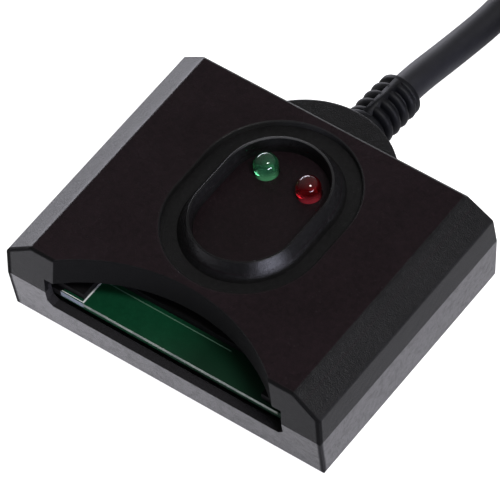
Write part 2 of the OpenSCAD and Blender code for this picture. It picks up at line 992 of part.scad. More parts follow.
module at_pins() {
    for (i = [0 : header_pins_n - 1])
        translate([(i - (header_pins_n - 1) / 2) * header_pitch, 0, 0])
            children();
}

module header_pins() {
    y = board_back - header_inset;
    color("#b9bcc2")
        at_pins()
            box([-pin_w / 2, y - pin_w * 2, board_top], [pin_w / 2, y, board_top + header_h / 2]);
}

module crimp_plug() {
    y = board_back - header_inset;
    low = header_t + header_gap;
    color("#efece2")
        box([low - header_w / 2, y + low, board_top + low],
            [header_w / 2 - low, y + header_d + crimp_out, board_top + header_h - low]);
}

// The four wires, from the plug to the end of the lead's jacket
wire_start = board_back - header_inset + header_d + crimp_out;
jacket_end = flange_back - relief_flange_t - jacket_len;

module wire(i) {
    from = [(i - (header_pins_n - 1) / 2) * header_pitch, wire_start, board_top + header_h / 2];
    side = lead_d / 2 * wire_side_share;
    to = [side * (i < 2 ? -1 : 1), jacket_end, parting_z + side * (i == 0 || i == 3 ? -1 : 1)];
    step = [0, (jacket_end - wire_start) / 4, 0];
    tube([from, from + step, (from + to) / 2, to - step, to], wire_r, lead_sides);
}

module wire_red() {
    color("#a3211f")
        wire(0);
}

module wire_white() {
    color("#dedede")
        wire(1);
}

module wire_green() {
    color("#2d7a3b")
        wire(2);
}

module wire_black() {
    color("#141416")
        wire(3);
}

// A rod along Y
module y_rod(r1, r2, from, to) {
    translate([0, from, parting_z])
        rotate([-90, 0, 0])
            cylinder(r1 = r1, r2 = r2, h = to - from);
}

module inner_jacket() {
    color("#16181d")
        y_rod(lead_d / 2, lead_d / 2, jacket_end, jacket_end + jacket_len);
}

// The relief's own frame, with its axis along Z from the housing's back
module at_relief() {
    translate([0, boss_end, parting_z])
        rotate([-90 - relief_droop, 0, 0])
            children();
}

// The slots that leave the ribs, staggered left and right of a spine on top and one below
module relief_slots() {
    reach = 2 * relief_r;
    for (i = [0 : rib_slots - 1], side = [0, 1]) {
        at = relief_len - rib_first - (i + side / 2) * rib_pitch - rib_slot / 2;
        mirror([1 - side, 0, 0])
            difference() {
                box([rib_bridge / 2, -reach, at], [reach, reach, at + rib_slot]);
                rod(rib_core_r, at - over, at + rib_slot + over);
            }
    }
}

module strain_relief() {
    color("#17191f")
        difference() {
            union() {
                y_rod(flange_r, flange_r, flange_back - relief_flange_t, flange_back);
                y_rod(relief_neck_r, relief_neck_r, flange_back - relief_flange_t / 2, boss_end + over);
                at_relief()
                    translate([0, 0, relief_lift])
                        cylinder(r1 = relief_r, r2 = relief_end_r, h = relief_len - relief_lift);
            }
            at_relief()
                relief_slots();
        }
}

module cable_lead() {
    color("#16181d")
        tube(lead_route, lead_d / 2, lead_sides);
}

module cable_coil() {
    color("#16181d")
        tube(coil_route, lead_d / 2, coil_sides);
}

module cable_tail() {
    color("#16181d")
        tube(tail_route, lead_d / 2, lead_sides);
}

// USB plug, which lies flat and points to -Y

module at_plug() {
    translate(plug_start)
        rotate([90, 0, 0])
            children();
}

module plug_outline(w, h, r) {
    square([w - 2 * r, h], center = true);
    square([w, h - 2 * r], center = true);
    for (x = [-1, 1], y = [-1, 1])
        translate([x * (w / 2 - r), y * (h / 2 - r)])
            circle(r = r, $fn = 32);
}

module plug_grip() {
    color("#16181d")
        at_plug() {
            cylinder(r1 = neck_r - grip_waist / 2, r2 = neck_r, h = neck_len);
            translate([0, 0, neck_len])
                difference() {
                    linear_extrude(height = grip_len)
                        plug_outline(grip_w, grip_h, grip_r);
                    for (s = [-1, 1])
                        translate([s * (grip_w / 2 + grip_len - grip_waist), 0, grip_len / 3])
                            rotate([90, 0, 0])
                                cylinder(r = grip_len, h = 2 * grip_h, center = true, $fn = 128);
                }
        }
}

module plug_shell() {
    color("#c3c6cb")
        at_plug()
            translate([0, 0, neck_len + grip_len])
                difference() {
                    linear_extrude(height = plug_len)
                        difference() {
                            square([plug_w, plug_h], center = true);
                            square([plug_w - 2 * plug_wall, plug_h - 2 * plug_wall], center = true);
                        }
                    for (x = [-plug_hole_x, plug_hole_x])
                        translate([x, 0, plug_len - plug_hole_inset])
                            cube([plug_hole_w, 2 * plug_h, plug_hole_l], center = true);
                }
}

module plug_tongue() {
    low = plug_wall - plug_h / 2;
    color("#e9e9e4")
        at_plug()
            translate([0, 0, neck_len + grip_len])
                box([-tongue_w / 2, low, 0], [tongue_w / 2, low + tongue_thick, plug_len - tongue_back]);
}

module plug_contacts() {
    low = plug_wall - plug_h / 2 + tongue_thick;
    color("#c9a24a")
        at_plug()
            translate([0, 0, neck_len + grip_len + plug_len - tongue_back])
                for (share = gold_shares) {
                    len = abs(share) > 1 ? gold_long : gold_short;
                    translate([share * gold_pitch - gold_w / 2, low, -len - gold_t])
                        cube([gold_w, gold_t, len]);
                }
}

top_shell();
bottom_shell();
rubber_feet();
housing_screws();
circuit_board();
board_screws();
card_connector();
contact_row_front();
contact_row_rear();
contact_tails();
switch_blade();
switch_anvil();
led_green();
led_red();
led_leads();
reader_chip();
chip_legs();
crystal();
electrolytic_capacitor();
voltage_regulator();
chip_capacitors();
chip_resistors();
cable_header();
header_pins();
crimp_plug();
wire_red();
wire_white();
wire_green();
wire_black();
inner_jacket();
strain_relief();
cable_lead();
cable_coil();
cable_tail();
plug_grip();
plug_shell();
plug_tongue();
plug_contacts();
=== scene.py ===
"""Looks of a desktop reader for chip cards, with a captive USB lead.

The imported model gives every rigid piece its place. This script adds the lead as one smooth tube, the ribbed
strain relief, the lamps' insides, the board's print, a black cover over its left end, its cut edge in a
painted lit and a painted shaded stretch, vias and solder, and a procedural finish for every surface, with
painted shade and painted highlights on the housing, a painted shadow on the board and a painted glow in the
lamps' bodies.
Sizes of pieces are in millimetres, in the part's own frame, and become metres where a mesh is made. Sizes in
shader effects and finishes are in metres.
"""

import logging
import math
from dataclasses import dataclass, fields
from enum import Enum
from functools import cached_property
from types import SimpleNamespace
from typing import Callable, ClassVar, Iterable, NamedTuple, Sequence

import bmesh
import bpy
from mathutils import Matrix, Vector


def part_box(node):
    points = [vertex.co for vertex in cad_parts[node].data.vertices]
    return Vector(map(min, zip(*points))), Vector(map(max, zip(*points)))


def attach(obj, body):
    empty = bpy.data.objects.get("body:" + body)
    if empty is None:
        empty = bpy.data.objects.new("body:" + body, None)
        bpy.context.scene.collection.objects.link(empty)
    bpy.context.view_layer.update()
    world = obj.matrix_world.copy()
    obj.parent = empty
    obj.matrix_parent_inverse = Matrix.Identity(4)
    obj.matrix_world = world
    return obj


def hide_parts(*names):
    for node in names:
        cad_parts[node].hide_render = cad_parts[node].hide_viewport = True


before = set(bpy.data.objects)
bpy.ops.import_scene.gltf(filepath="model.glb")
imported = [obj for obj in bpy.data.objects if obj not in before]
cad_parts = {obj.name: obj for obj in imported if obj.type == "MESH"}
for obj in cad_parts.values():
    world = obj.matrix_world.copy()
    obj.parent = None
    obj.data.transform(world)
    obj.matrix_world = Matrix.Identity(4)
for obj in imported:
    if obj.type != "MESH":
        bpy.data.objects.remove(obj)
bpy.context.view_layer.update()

MM = 0.001
LOG = logging.getLogger("reader")

Point = tuple[float, float, float]
Colour = tuple[float, float, float]
Pair = tuple[float, float]
Span = tuple[float, float]
Fade = tuple[Span, Span]
Line = tuple[Pair, Pair]
Block = tuple[Point, Point]
Socket = bpy.types.NodeSocket
Source = Socket | Colour | float

WHITE: Colour = (1.0, 1.0, 1.0)
WELD = 1e-7
LAMP_PITCH = 10.16
LAMP_Y = 9.5
LEG_ASIDE = 1.27


class Slot(Enum):
    """The record's material slots: board, cord and tin. Nothing in the script uses them."""

    BOARD = "board"
    CORD = "cord"
    TIN = "tin"


class Side(Enum):
    """The two lamps, by the side of the middle that they stand on."""

    GREEN = -1
    RED = 1

    @property
    def x(self) -> float:
        """Where the lamp's axis stands, in millimetres."""
        return self.value * LAMP_PITCH / 2


# Objects and meshes


def metres(points: Iterable[Sequence[float]]) -> list[Vector]:
    """Turn points in millimetres into vectors in metres."""
    return [Vector(p) * MM for p in points]


def linked(name: str, data: bpy.types.ID) -> bpy.types.Object:
    """Make an object of some data and link it to the scene.

    Args:
        name: The object's name.
        data: Its data.

    Returns:
        The object.
    """
    made = bpy.data.objects.new(name, data)
    bpy.context.scene.collection.objects.link(made)
    return made


def piece(name: str, mesh: bpy.types.Mesh, finish: bpy.types.Material) -> bpy.types.Object:
    """Make a mesh a piece that rides on the housing.

    Args:
        name: The piece's name.
        mesh: Its mesh, in metres and in place.
        finish: Its material.

    Returns:
        The piece's object, at the origin.
    """
    mesh.materials.clear()
    mesh.materials.append(finish)
    thing = linked(name, mesh)
    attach(thing, "housing")
    LOG.info("piece %s: %d faces", name, len(mesh.polygons))
    return thing


def mesh_of(name: str, build: Callable[[bmesh.types.BMesh], None], smooth: bool = True) -> bpy.types.Mesh:
    """Build a mesh with bmesh and make its faces point outwards.

    Args:
        name: The mesh's name.
        build: A function that fills the bmesh, in metres.
        smooth: Whether its faces are shaded smooth.

    Returns:
        The mesh.
    """
    work = bmesh.new()
    build(work)
    bmesh.ops.remove_doubles(work, verts=work.verts[:], dist=WELD)
    bmesh.ops.recalc_face_normals(work, faces=work.faces[:])
    for face in work.faces:
        face.smooth = smooth
    mesh = bpy.data.meshes.new(name)
    work.to_mesh(mesh)
    work.free()
    return mesh


def add_box(work: bmesh.types.BMesh, low: Sequence[float], high: Sequence[float]) -> None:
    """Add a closed box between two corners.

    Args:
        work: The bmesh that takes the box.
        low: Its lowest corner, in millimetres.
        high: Its highest corner, in millimetres.
    """
    lo, hi = metres((low, high))
    matrix = Matrix.Translation((lo + hi) / 2) @ Matrix.Diagonal((*(hi - lo), 1.0))
    bmesh.ops.create_cube(work, size=1.0, matrix=matrix)


def add_revolve(work: bmesh.types.BMesh, profile: Iterable[Pair], steps: int,
                centre: Point = (0.0, 0.0, 0.0)) -> None:
    """Add a solid of revolution about a vertical axis.

    Args:
        work: The bmesh that takes the solid.
        profile: Radii and heights from the axis at the bottom to the axis at the top, in millimetres.
        steps: The number of steps round it.
        centre: Where the axis stands at height zero.
    """
    angles = [2 * math.pi * k / steps for k in range(steps)]
    rows = []
    for radius, height in profile:
        turns = angles if radius else angles[:1]
        ring = [Vector((radius * math.cos(a), radius * math.sin(a), height)) for a in turns]
        rows.append([work.verts.new((Vector(centre) + p) * MM) for p in ring])
    for low, high in zip(rows, rows[1:]):
        for k in range(steps):
            j = (k + 1) % steps
            corners = [low[k % len(low)], low[j % len(low)], high[j % len(high)], high[k % len(high)]]
            work.faces.new(list(dict.fromkeys(corners)))


def blocks_of(name: str, *blocks: Block) -> bpy.types.Mesh:
    """Make a mesh of closed boxes, each given by two corners in millimetres.

    Args:
        name: The mesh's name.
        blocks: The boxes' lowest and highest corners.

    Returns:
        The mesh.
    """

    def fill(work: bmesh.types.BMesh) -> None:
        """Add every box."""
        for block in blocks:
            add_box(work, *block)

    return mesh_of(name, fill, smooth=False)


def joined(name: str, meshes: Iterable[bpy.types.Mesh]) -> bpy.types.Mesh:
    """Join closed meshes into one, each as a shell of its own.

    Args:
        name: The new mesh's name.
        meshes: The meshes, in place.

    Returns:
        The new mesh.
    """
    work = bmesh.new()
    for mesh in meshes:
        work.from_mesh(mesh)
    made = bpy.data.meshes.new(name)
    work.to_mesh(made)
    work.free()
    return made


def points_of(name: str, places: Iterable[Sequence[float]]) -> bpy.types.Mesh:
    """Make a mesh of loose points, given in millimetres.

    Args:
        name: The mesh's name.
        places: The points.

    Returns:
        The mesh.
    """
    mesh = bpy.data.meshes.new(name)
    mesh.from_pydata([tuple(p) for p in metres(places)], [], [])
    return mesh


# Lines


def smooth_path(points: Sequence[Vector], step: float) -> list[Vector]:
    """Draw a smooth line through points.

    Args:
        points: The points, in metres.
        step: The rough distance between the line's points.

    Returns:
        Points along a Catmull-Rom line through all of them.
    """
    ends = [2 * points[0] - points[1], *points, 2 * points[-1] - points[-2]]
    line = [points[0].copy()]
    for a, b, c, d in zip(ends, ends[1:], ends[2:], ends[3:]):
        parts = max(1, round((c - b).length / step))
        for k in range(1, parts + 1):
            t = k / parts
            line.append(0.5 * (2 * b + (c - a) * t + (2 * a - 5 * b + 4 * c - d) * t ** 2
                               + (3 * b - a - 3 * c + d) * t ** 3))
    return line


def eased(path: Sequence[Vector], passes: int) -> list[Vector]:
    """Even out a line's bends, with its ends kept.

    Args:
        path: The line's points.
        passes: How often each point is drawn towards its neighbours' middle.

    Returns:
        The eased points.
    """
    line = [p.copy() for p in path]
    for _ in range(passes):
        line = [line[0], *((a + 2 * b + c) / 4 for a, b, c in zip(line, line[1:], line[2:])), line[-1]]
    return line


def curve_of(name: str, path: Sequence[Vector]) -> bpy.types.Curve:
    """Make an open poly curve.

    Args:
        name: The curve's name.
        path: Its points, in metres.

    Returns:
        The curve.
    """
    curve = bpy.data.curves.new(name, "CURVE")
    curve.dimensions = "3D"
    curve.twist_mode = "MINIMUM"
    line = curve.splines.new("POLY")
    line.points.add(len(path) - 1)
    for point, place in zip(line.points, path):
        point.co = (*place, 1.0)
    return curve


def heading(bearing: float, height: float) -> Vector:
    """Point away from the reader, by a bearing from +X and a height angle, in degrees."""
    turn, lift = math.radians(bearing), math.radians(height)
    return Vector((math.cos(turn) * math.cos(lift), math.sin(turn) * math.cos(lift), math.sin(lift)))


# Node trees


def label(name: str) -> str:
    """Turn the name of a value into its socket's."""
    return name.replace("_", " ").capitalize()


class Wires:
    """A helper that adds nodes to a tree and links them."""

    def __init__(self, tree: bpy.types.NodeTree) -> None:
        """Keep the tree that the nodes go into."""
        self.tree = tree

    def feed(self, socket: Socket, value: object) -> None:
        """Link a source to an input, or set the input's own value.

        Args:
            socket: The input.
            value: A source or a value, with a colour as three numbers.
        """
        if isinstance(value, Socket):
            self.tree.links.new(value, socket)
        elif socket.type == "RGBA":
            socket.default_value = (*value, 1.0)
        else:
            socket.default_value = value

    def node(self, kind: str, **settings: object) -> bpy.types.Node:
        """Add a node.

        Args:
            kind: The node's type name.
            settings: Its properties, then its inputs' values or sources, with underscores for spaces.

        Returns:
            The node.
        """
        made = self.tree.nodes.new(kind)
        for name, value in settings.items():
            if hasattr(made, name):
                setattr(made, name, value)
            else:
                self.feed(made.inputs[name.replace("_", " ")], value)
        return made

    def out(self, kind: str, **settings: object) -> Socket:
        """Add a node as the method node does, and give the first of its outputs that is in use."""
        return next(socket for socket in self.node(kind, **settings).outputs if socket.enabled)

    @cached_property
    def place(self) -> Socket:
        """The place on the piece, in metres."""
        return self.node("ShaderNodeTexCoord").outputs["Object"]

    @cached_property
    def axes(self) -> tuple[Socket, ...]:
        """The place's X, Y and Z."""
        return tuple(self.node("ShaderNodeSeparateXYZ", Vector=self.place).outputs)

    def maths(self, kind: str, first: Source, *rest: Source, clamp: bool = False) -> Socket:
        """Take in values one after another.

        Args:
            kind: The Math node's operation.
            first: The first value.
            rest: The others. An operation on one value has none.
            clamp: Whether each result is kept between 0 and 1.

        Returns:
            The last result.
        """
        result = first
        for value in rest or (0.0,):
            made = self.node("ShaderNodeMath", operation=kind, use_clamp=clamp)
            self.feed(made.inputs[0], result)
            self.feed(made.inputs[1], value)
            result = made.outputs[0]
        return result

    def times(self, *values: Source, clamp: bool = False) -> Socket:
        """Multiply values."""
        return self.maths("MULTIPLY", *values, clamp=clamp)

    def plus(self, *values: Source, clamp: bool = False) -> Socket:
        """Add values up."""
        return self.maths("ADD", *values, clamp=clamp)

    def minus(self, value: Source, other: Source) -> Socket:
        """Take a second value from a first."""
        return self.maths("SUBTRACT", value, other)

    def most(self, *values: Source) -> Socket:
        """Keep the greatest of some values."""
        return self.maths("MAXIMUM", *values)

    def near(self, value: Socket, target: Source, gap: Source) -> Socket:
        """Give 1 where a value is within a gap of its target, and 0 elsewhere.

        Args:
            value: The value.
            target: Its target.
            gap: The gap.

        Returns:
            The test's result.
        """
        made = self.maths("COMPARE", value, target)
        self.feed(made.node.inputs[2], gap)
        return made

    def between(self, value: Socket, low: Source, high: Source) -> Socket:
        """Give 1 where a value is between two others, and 0 elsewhere."""
        return self.times(self.maths("GREATER_THAN", value, low), self.maths("LESS_THAN", value, high))

    def reach(self, *legs: Socket) -> Socket:
        """Give the length of a vector from its legs."""
        return self.maths("POWER", self.plus(*[self.times(leg, leg) for leg in legs]), 0.5)

    def ramp(self, source: Socket, span: Span, onto: Span = (0.0, 1.0)) -> Socket:
        """Map a span of a value onto another, and hold the value at both ends.

        Args:
            source: The value.
            span: The span.
            onto: What its ends become.

        Returns:
            The mapped value.
        """
        (low, high), (at_low, at_high) = span, onto
        return self.out("ShaderNodeMapRange", Value=source, From_Min=low, From_Max=high, To_Min=at_low,
                        To_Max=at_high)

    def noise(self, scale: Source, detail: float, roughness: float = 0.5, distortion: float = 0.0) -> Socket:
        """Give noise over the piece, by a scale in cells a metre."""
        return self.out("ShaderNodeTexNoise", noise_dimensions="3D", Vector=self.place, Scale=scale,
                        Detail=detail, Roughness=roughness, Distortion=distortion)

    def blend(self, share: Source, a: Source, b: Source, kind: str = "MIX") -> Socket:
        """Mix a share of a second colour into a first."""
        return self.out("ShaderNodeMix", data_type="RGBA", blend_type=kind, Factor=share, A=a, B=b)

    def bump(self, height: Socket, depth: float) -> Socket:
        """Turn heights from 0 to 1 into normals."""
        return self.out("ShaderNodeBump", Strength=1.0, Distance=depth, Height=height)


@dataclass(frozen=True)
class Grower:
    """A geometry tree with named inputs, which grows plain meshes from start objects."""

    tree: bpy.types.NodeTree
    sizes: dict[str, float | int]

    @classmethod
    def make(cls, name: str, build: Callable[[Wires, SimpleNamespace], Socket],
             **sizes: float | int) -> "Grower":
        """Build the tree and end it in Realize Instances and Set Material.

        Args:
            name: The tree's name.
            build: A function that gives the tree's geometry from its wires and its inputs.
            sizes: The named inputs' values, with lengths in metres and angles in radians.

        Returns:
            The grower.
        """
        tree = bpy.data.node_groups.new(name, "GeometryNodeTree")
        kinds = {key: "NodeSocketInt" if isinstance(value, int) else "NodeSocketFloat"
                 for key, value in sizes.items()}
        kinds = {"start": "NodeSocketGeometry", **kinds, "finish": "NodeSocketMaterial"}
        for key, kind in kinds.items():
            tree.interface.new_socket(name=label(key), in_out="INPUT", socket_type=kind)
        tree.interface.new_socket(name="Grown", in_out="OUTPUT", socket_type="NodeSocketGeometry")
        w = Wires(tree)
        given = SimpleNamespace(**dict(zip(kinds, w.node("NodeGroupInput").outputs)))
        real = w.out("GeometryNodeRealizeInstances", Geometry=build(w, given))
        done = w.out("GeometryNodeSetMaterial", Geometry=real, Material=given.finish)
        w.node("NodeGroupOutput", Grown=done)
        return cls(tree, sizes)

    def grow(self, name: str, start: bpy.types.ID, finish: bpy.types.Material,
             **changes: float) -> bpy.types.Mesh:
        """Run the tree on a start mesh or curve.

        Args:
            name: The name of the mesh that it grows.
            start: The mesh or curve that it starts from.
            finish: The mesh's material.
            changes: Values that differ from the tree's sizes.

        Returns:
            The grown mesh, plain and closed.
        """
        thing = linked(name + "_start", start)
        growth = thing.modifiers.new("growth", "NODES")
        growth.node_group = self.tree
        values = {label(key): value for key, value in {**self.sizes, **changes, "finish": finish}.items()}
        for item in self.tree.interface.items_tree:
            if item.in_out == "INPUT" and item.name in values:
                growth[item.identifier] = values[item.name]
        bpy.context.view_layer.update()
        ready = thing.evaluated_get(bpy.context.evaluated_depsgraph_get())
        mesh = bpy.data.meshes.new_from_object(ready)
        mesh.name = name
        thing.modifiers.remove(growth)
        bpy.data.objects.remove(thing)
        return mesh


def sweep_tree(w: Wires, given: SimpleNamespace) -> Socket:
    """Sweep a round section along the start curve, with closed ends.

    Args:
        w: The tree's wires.
        given: Its inputs.

    Returns:
        The tube.
    """
    section = w.out("GeometryNodeCurvePrimitiveCircle", Resolution=given.sides, Radius=given.radius)
    tube = w.out("GeometryNodeCurveToMesh", Curve=given.start, Profile_Curve=section, Fill_Caps=True)
    return w.out("GeometryNodeSetShadeSmooth", Geometry=tube)


def rib_tree(w: Wires, given: SimpleNamespace) -> Socket:
    """Set a round-backed rib, bent to an arc about Z, on every point of the start mesh.

    Args:
        w: The tree's wires.
        given: Its inputs.

    Returns:
        The ribs.
    """
    arc = w.out("GeometryNodeCurveArc", Resolution=given.arc_steps, Radius=given.core_radius,
                Start_Angle=given.from_angle, Sweep_Angle=given.sweep_angle)
    back = w.out("GeometryNodeCurvePrimitiveCircle", Resolution=given.back_steps, Radius=1.0)
    size = w.out("ShaderNodeCombineXYZ", X=given.rib_height, Y=given.rib_half_width)
    section = w.out("GeometryNodeTransform", Geometry=back, Scale=size)
    rib = w.out("GeometryNodeCurveToMesh", Curve=arc, Profile_Curve=section, Fill_Caps=True)
    soft = w.out("GeometryNodeSetShadeSmooth", Geometry=rib)
    return w.out("GeometryNodeInstanceOnPoints", Points=given.start, Instance=soft)


def ring_tree(w: Wires, given: SimpleNamespace) -> Socket:
    """Set a small ring on every point of the start mesh.

    Args:
        w: The tree's wires.
        given: Its inputs.

    Returns:
        The rings.
    """
    ring = w.out("GeometryNodeCurvePrimitiveCircle", Resolution=given.ring_steps, Radius=given.ring_radius)
    rim = w.out("GeometryNodeCurvePrimitiveCircle", Resolution=given.rim_steps, Radius=given.rim_radius)
    body = w.out("GeometryNodeCurveToMesh", Curve=ring, Profile_Curve=rim)
    return w.out("GeometryNodeInstanceOnPoints", Points=given.start, Instance=body)


def solder_tree(w: Wires, given: SimpleNamespace) -> Socket:
    """Set a small cone of solder, each of its own size, on every point of the start mesh.

    Args:
        w: The tree's wires.
        given: Its inputs.

    Returns:
        The cones.
    """
    cone = w.out("GeometryNodeMeshCone", Vertices=given.steps, Radius_Bottom=given.foot_radius,
                 Radius_Top=given.tip_radius, Depth=given.height)
    soft = w.out("GeometryNodeSetShadeSmooth", Geometry=cone)
    size = w.out("FunctionNodeRandomValue", data_type="FLOAT", Min=given.least, Max=given.most,
                 Seed=given.seed)
    return w.out("GeometryNodeInstanceOnPoints", Points=given.start, Instance=soft, Scale=size)


# Shader effects

PARTING_Z = 0.0112
FRONT_DRAFT = 0.072


@dataclass(frozen=True)
class Effect:
    """A shader group that finishes share. Its fields are its named inputs, with lengths in metres."""

    NAME: ClassVar[str]
    OUTPUTS: ClassVar[tuple[str, ...]] = ("Mask",)

    def fill(self, w: Wires, given: SimpleNamespace) -> tuple[Socket, ...]:
        """Fill the group.

        Args:
            w: The group's wires.
            given: Its inputs, by field.

        Returns:
            A source for each output.
        """
        raise NotImplementedError

    def group(self) -> bpy.types.NodeTree:
        """Build the group.

        Returns:
            The group.
        """
        made = bpy.data.node_groups.new(self.NAME, "ShaderNodeTree")
        names = [field.name for field in fields(self)]
        for name in names:
            made.interface.new_socket(name=label(name), in_out="INPUT",
                                      socket_type="NodeSocketFloat").default_value = getattr(self, name)
        for name in self.OUTPUTS:
            made.interface.new_socket(name=name, in_out="OUTPUT", socket_type="NodeSocketFloat")
        w = Wires(made)
        given = SimpleNamespace(**dict(zip(names, w.node("NodeGroupInput").outputs)))
        w.node("NodeGroupOutput", **dict(zip(self.OUTPUTS, self.fill(w, given))))
        return made


Groups = dict[type[Effect], bpy.types.NodeTree]


class Paint(Wires):
    """The wires of a material, which can use the shared effects."""

    def __init__(self, tree: bpy.types.NodeTree, shared: Groups) -> None:
        """Keep the material's tree and the effects' groups."""
        super().__init__(tree)
        self.shared = shared

    def effect(self, kind: type[Effect], **inputs: Source) -> Socket:
        """Use an effect with some inputs of its own, and give its first output."""
        return self.out("ShaderNodeGroup", node_tree=self.shared[kind], **inputs)


def drafted(w: Wires, face: Socket, draft: Socket, parting: Socket) -> Socket:
    """Find where a drafted face stands at each height.

    Args:
        w: The group's wires.
        face: Where it stands at the parting line.
        draft: How far it moves for each metre off the parting line.
        parting: The parting line's height.

    Returns:
        Its place.
    """
    off = w.maths("ABSOLUTE", w.minus(w.axes[2], parting))
    return w.plus(face, w.times(off, draft))


@dataclass(frozen=True)
class MouldedGrain(Effect):
    """Moulded grain: fine pits over a coarser unevenness."""

    NAME: ClassVar[str] = "moulded_grain"
    OUTPUTS: ClassVar[tuple[str, ...]] = ("Height", "Mask")
    SPREAD: ClassVar[Span] = (0.3, 0.7)
    PIT_SHARE: ClassVar[float] = 0.7
    scale: float = 2600.0
    coarser: float = 0.31

    def fill(self, w: Wires, given: SimpleNamespace) -> tuple[Socket, ...]:
        """Give the grain's height, and a mask of the pits where the unevenness is high too.

        Args:
            w: The group's wires.
            given: Its inputs, by field.

        Returns:
            The height and the mask.
        """
        pits = w.ramp(w.noise(given.scale, detail=3.0, roughness=0.65), self.SPREAD)
        waves = w.ramp(w.noise(w.times(given.scale, given.coarser), detail=2.0), self.SPREAD)
        height = w.plus(w.times(pits, self.PIT_SHARE), w.times(waves, 1 - self.PIT_SHARE))
        return height, w.times(pits, waves)


@dataclass(frozen=True)
class HandlingMarks(Effect):
    """Handling marks: wide soft patches."""

    NAME: ClassVar[str] = "handling_marks"
    SPREAD: ClassVar[Span] = (0.32, 0.68)
    scale: float = 60.0

    def fill(self, w: Wires, given: SimpleNamespace) -> tuple[Socket, ...]:
        """Give the patches, from 0 to 1.

        Args:
            w: The group's wires.
            given: Its inputs, by field.

        Returns:
            The mask.
        """
        patches = w.noise(given.scale, detail=4.0, roughness=0.55, distortion=0.4)
        return (w.ramp(patches, self.SPREAD),)


@dataclass(frozen=True)
class FineDust(Effect):
    """Dust: small flecks in sparse patches."""

    NAME: ClassVar[str] = "fine_dust"
    PATCH: ClassVar[Span] = (0.52, 0.62)
    scale: float = 900.0
    size: float = 0.12
    patch_scale: float = 160.0

    def fill(self, w: Wires, given: SimpleNamespace) -> tuple[Socket, ...]:
        """Give the flecks.

        Args:
            w: The group's wires.
            given: Its inputs, by field.

        Returns:
            The mask.
        """
        cells = w.out("ShaderNodeTexVoronoi", voronoi_dimensions="3D", feature="F1", Vector=w.place,
                      Scale=given.scale)
        patches = w.ramp(w.noise(given.patch_scale, detail=2.0), self.PATCH)
        return (w.times(w.maths("LESS_THAN", cells, given.size), patches),)


@dataclass(frozen=True)
class MouthShade(Effect):
    """Painted shade in the card mouth: all behind the housing's front, in the round thumb cutout and in the
    slot.
    """

    NAME: ClassVar[str] = "mouth_painted_shade"
    radius: float = 0.041
    low: float = 0.0
    top: float = 0.022
    axis_y: float = -0.0626
    front_y: float = -0.03214
    front_draft: float = FRONT_DRAFT
    parting_z: float = PARTING_Z
    slot_half: float = 0.0283
    slot_low: float = 0.00735
    slot_high: float = 0.01495

    def fill(self, w: Wires, given: SimpleNamespace) -> tuple[Socket, ...]:
        """Give 1 inside the mouth, where shade is painted.

        Args:
            w: The group's wires.
            given: Its inputs, by field.

        Returns:
            The mask.
        """
        x, y, z = w.axes
        near = w.maths("LESS_THAN", w.reach(w.minus(y, given.axis_y), x), given.radius)
        cutout = w.times(near, w.between(z, given.low, given.top))
        within = w.maths("LESS_THAN", w.maths("ABSOLUTE", x), given.slot_half)
        slot = w.times(within, w.between(z, given.slot_low, given.slot_high))
        front = drafted(w, given.front_y, given.front_draft, given.parting_z)
        behind = w.maths("GREATER_THAN", y, front)
        return (w.times(w.most(cutout, slot), behind),)


@dataclass(frozen=True)
class FrontEdgeShade(Effect):
    """Painted shade along the edges where the housing's front meets a side, a bevel or the top."""

    NAME: ClassVar[str] = "front_edge_shade"
    CORNER: ClassVar[Span] = (-0.0010, -0.00045)
    CREST: ClassVar[Span] = (-0.0007, -0.0003)
    parting_z: float = PARTING_Z
    front_y: float = -0.0322
    front_draft: float = FRONT_DRAFT
    side_x: float = 0.0373
    side_draft: float = -0.035
    top_z: float = 0.0224
    top_x: float = 0.03106
    bevel_across: float = 0.59
    bevel_up: float = 0.81

    def fill(self, w: Wires, given: SimpleNamespace) -> tuple[Socket, ...]:
        """Give 1 at the edges, where shade is painted, from how far a place stands out past both faces.

        Args:
            w: The group's wires.
            given: Its inputs, by field.

        Returns:
            The mask.
        """
        x, y, z = w.axes
        across = w.maths("ABSOLUTE", x)
        ahead = w.minus(drafted(w, given.front_y, given.front_draft, given.parting_z), y)
        beside = w.minus(across, drafted(w, given.side_x, given.side_draft, given.parting_z))
        above = w.minus(z, given.top_z)
        outward = w.times(w.minus(across, given.top_x), given.bevel_across)
        bevel = w.plus(outward, w.times(above, given.bevel_up))
        corner = w.ramp(w.plus(ahead, beside), self.CORNER)
        crest = w.ramp(w.plus(ahead, w.most(above, bevel)), self.CREST)
        return (w.most(corner, crest),)


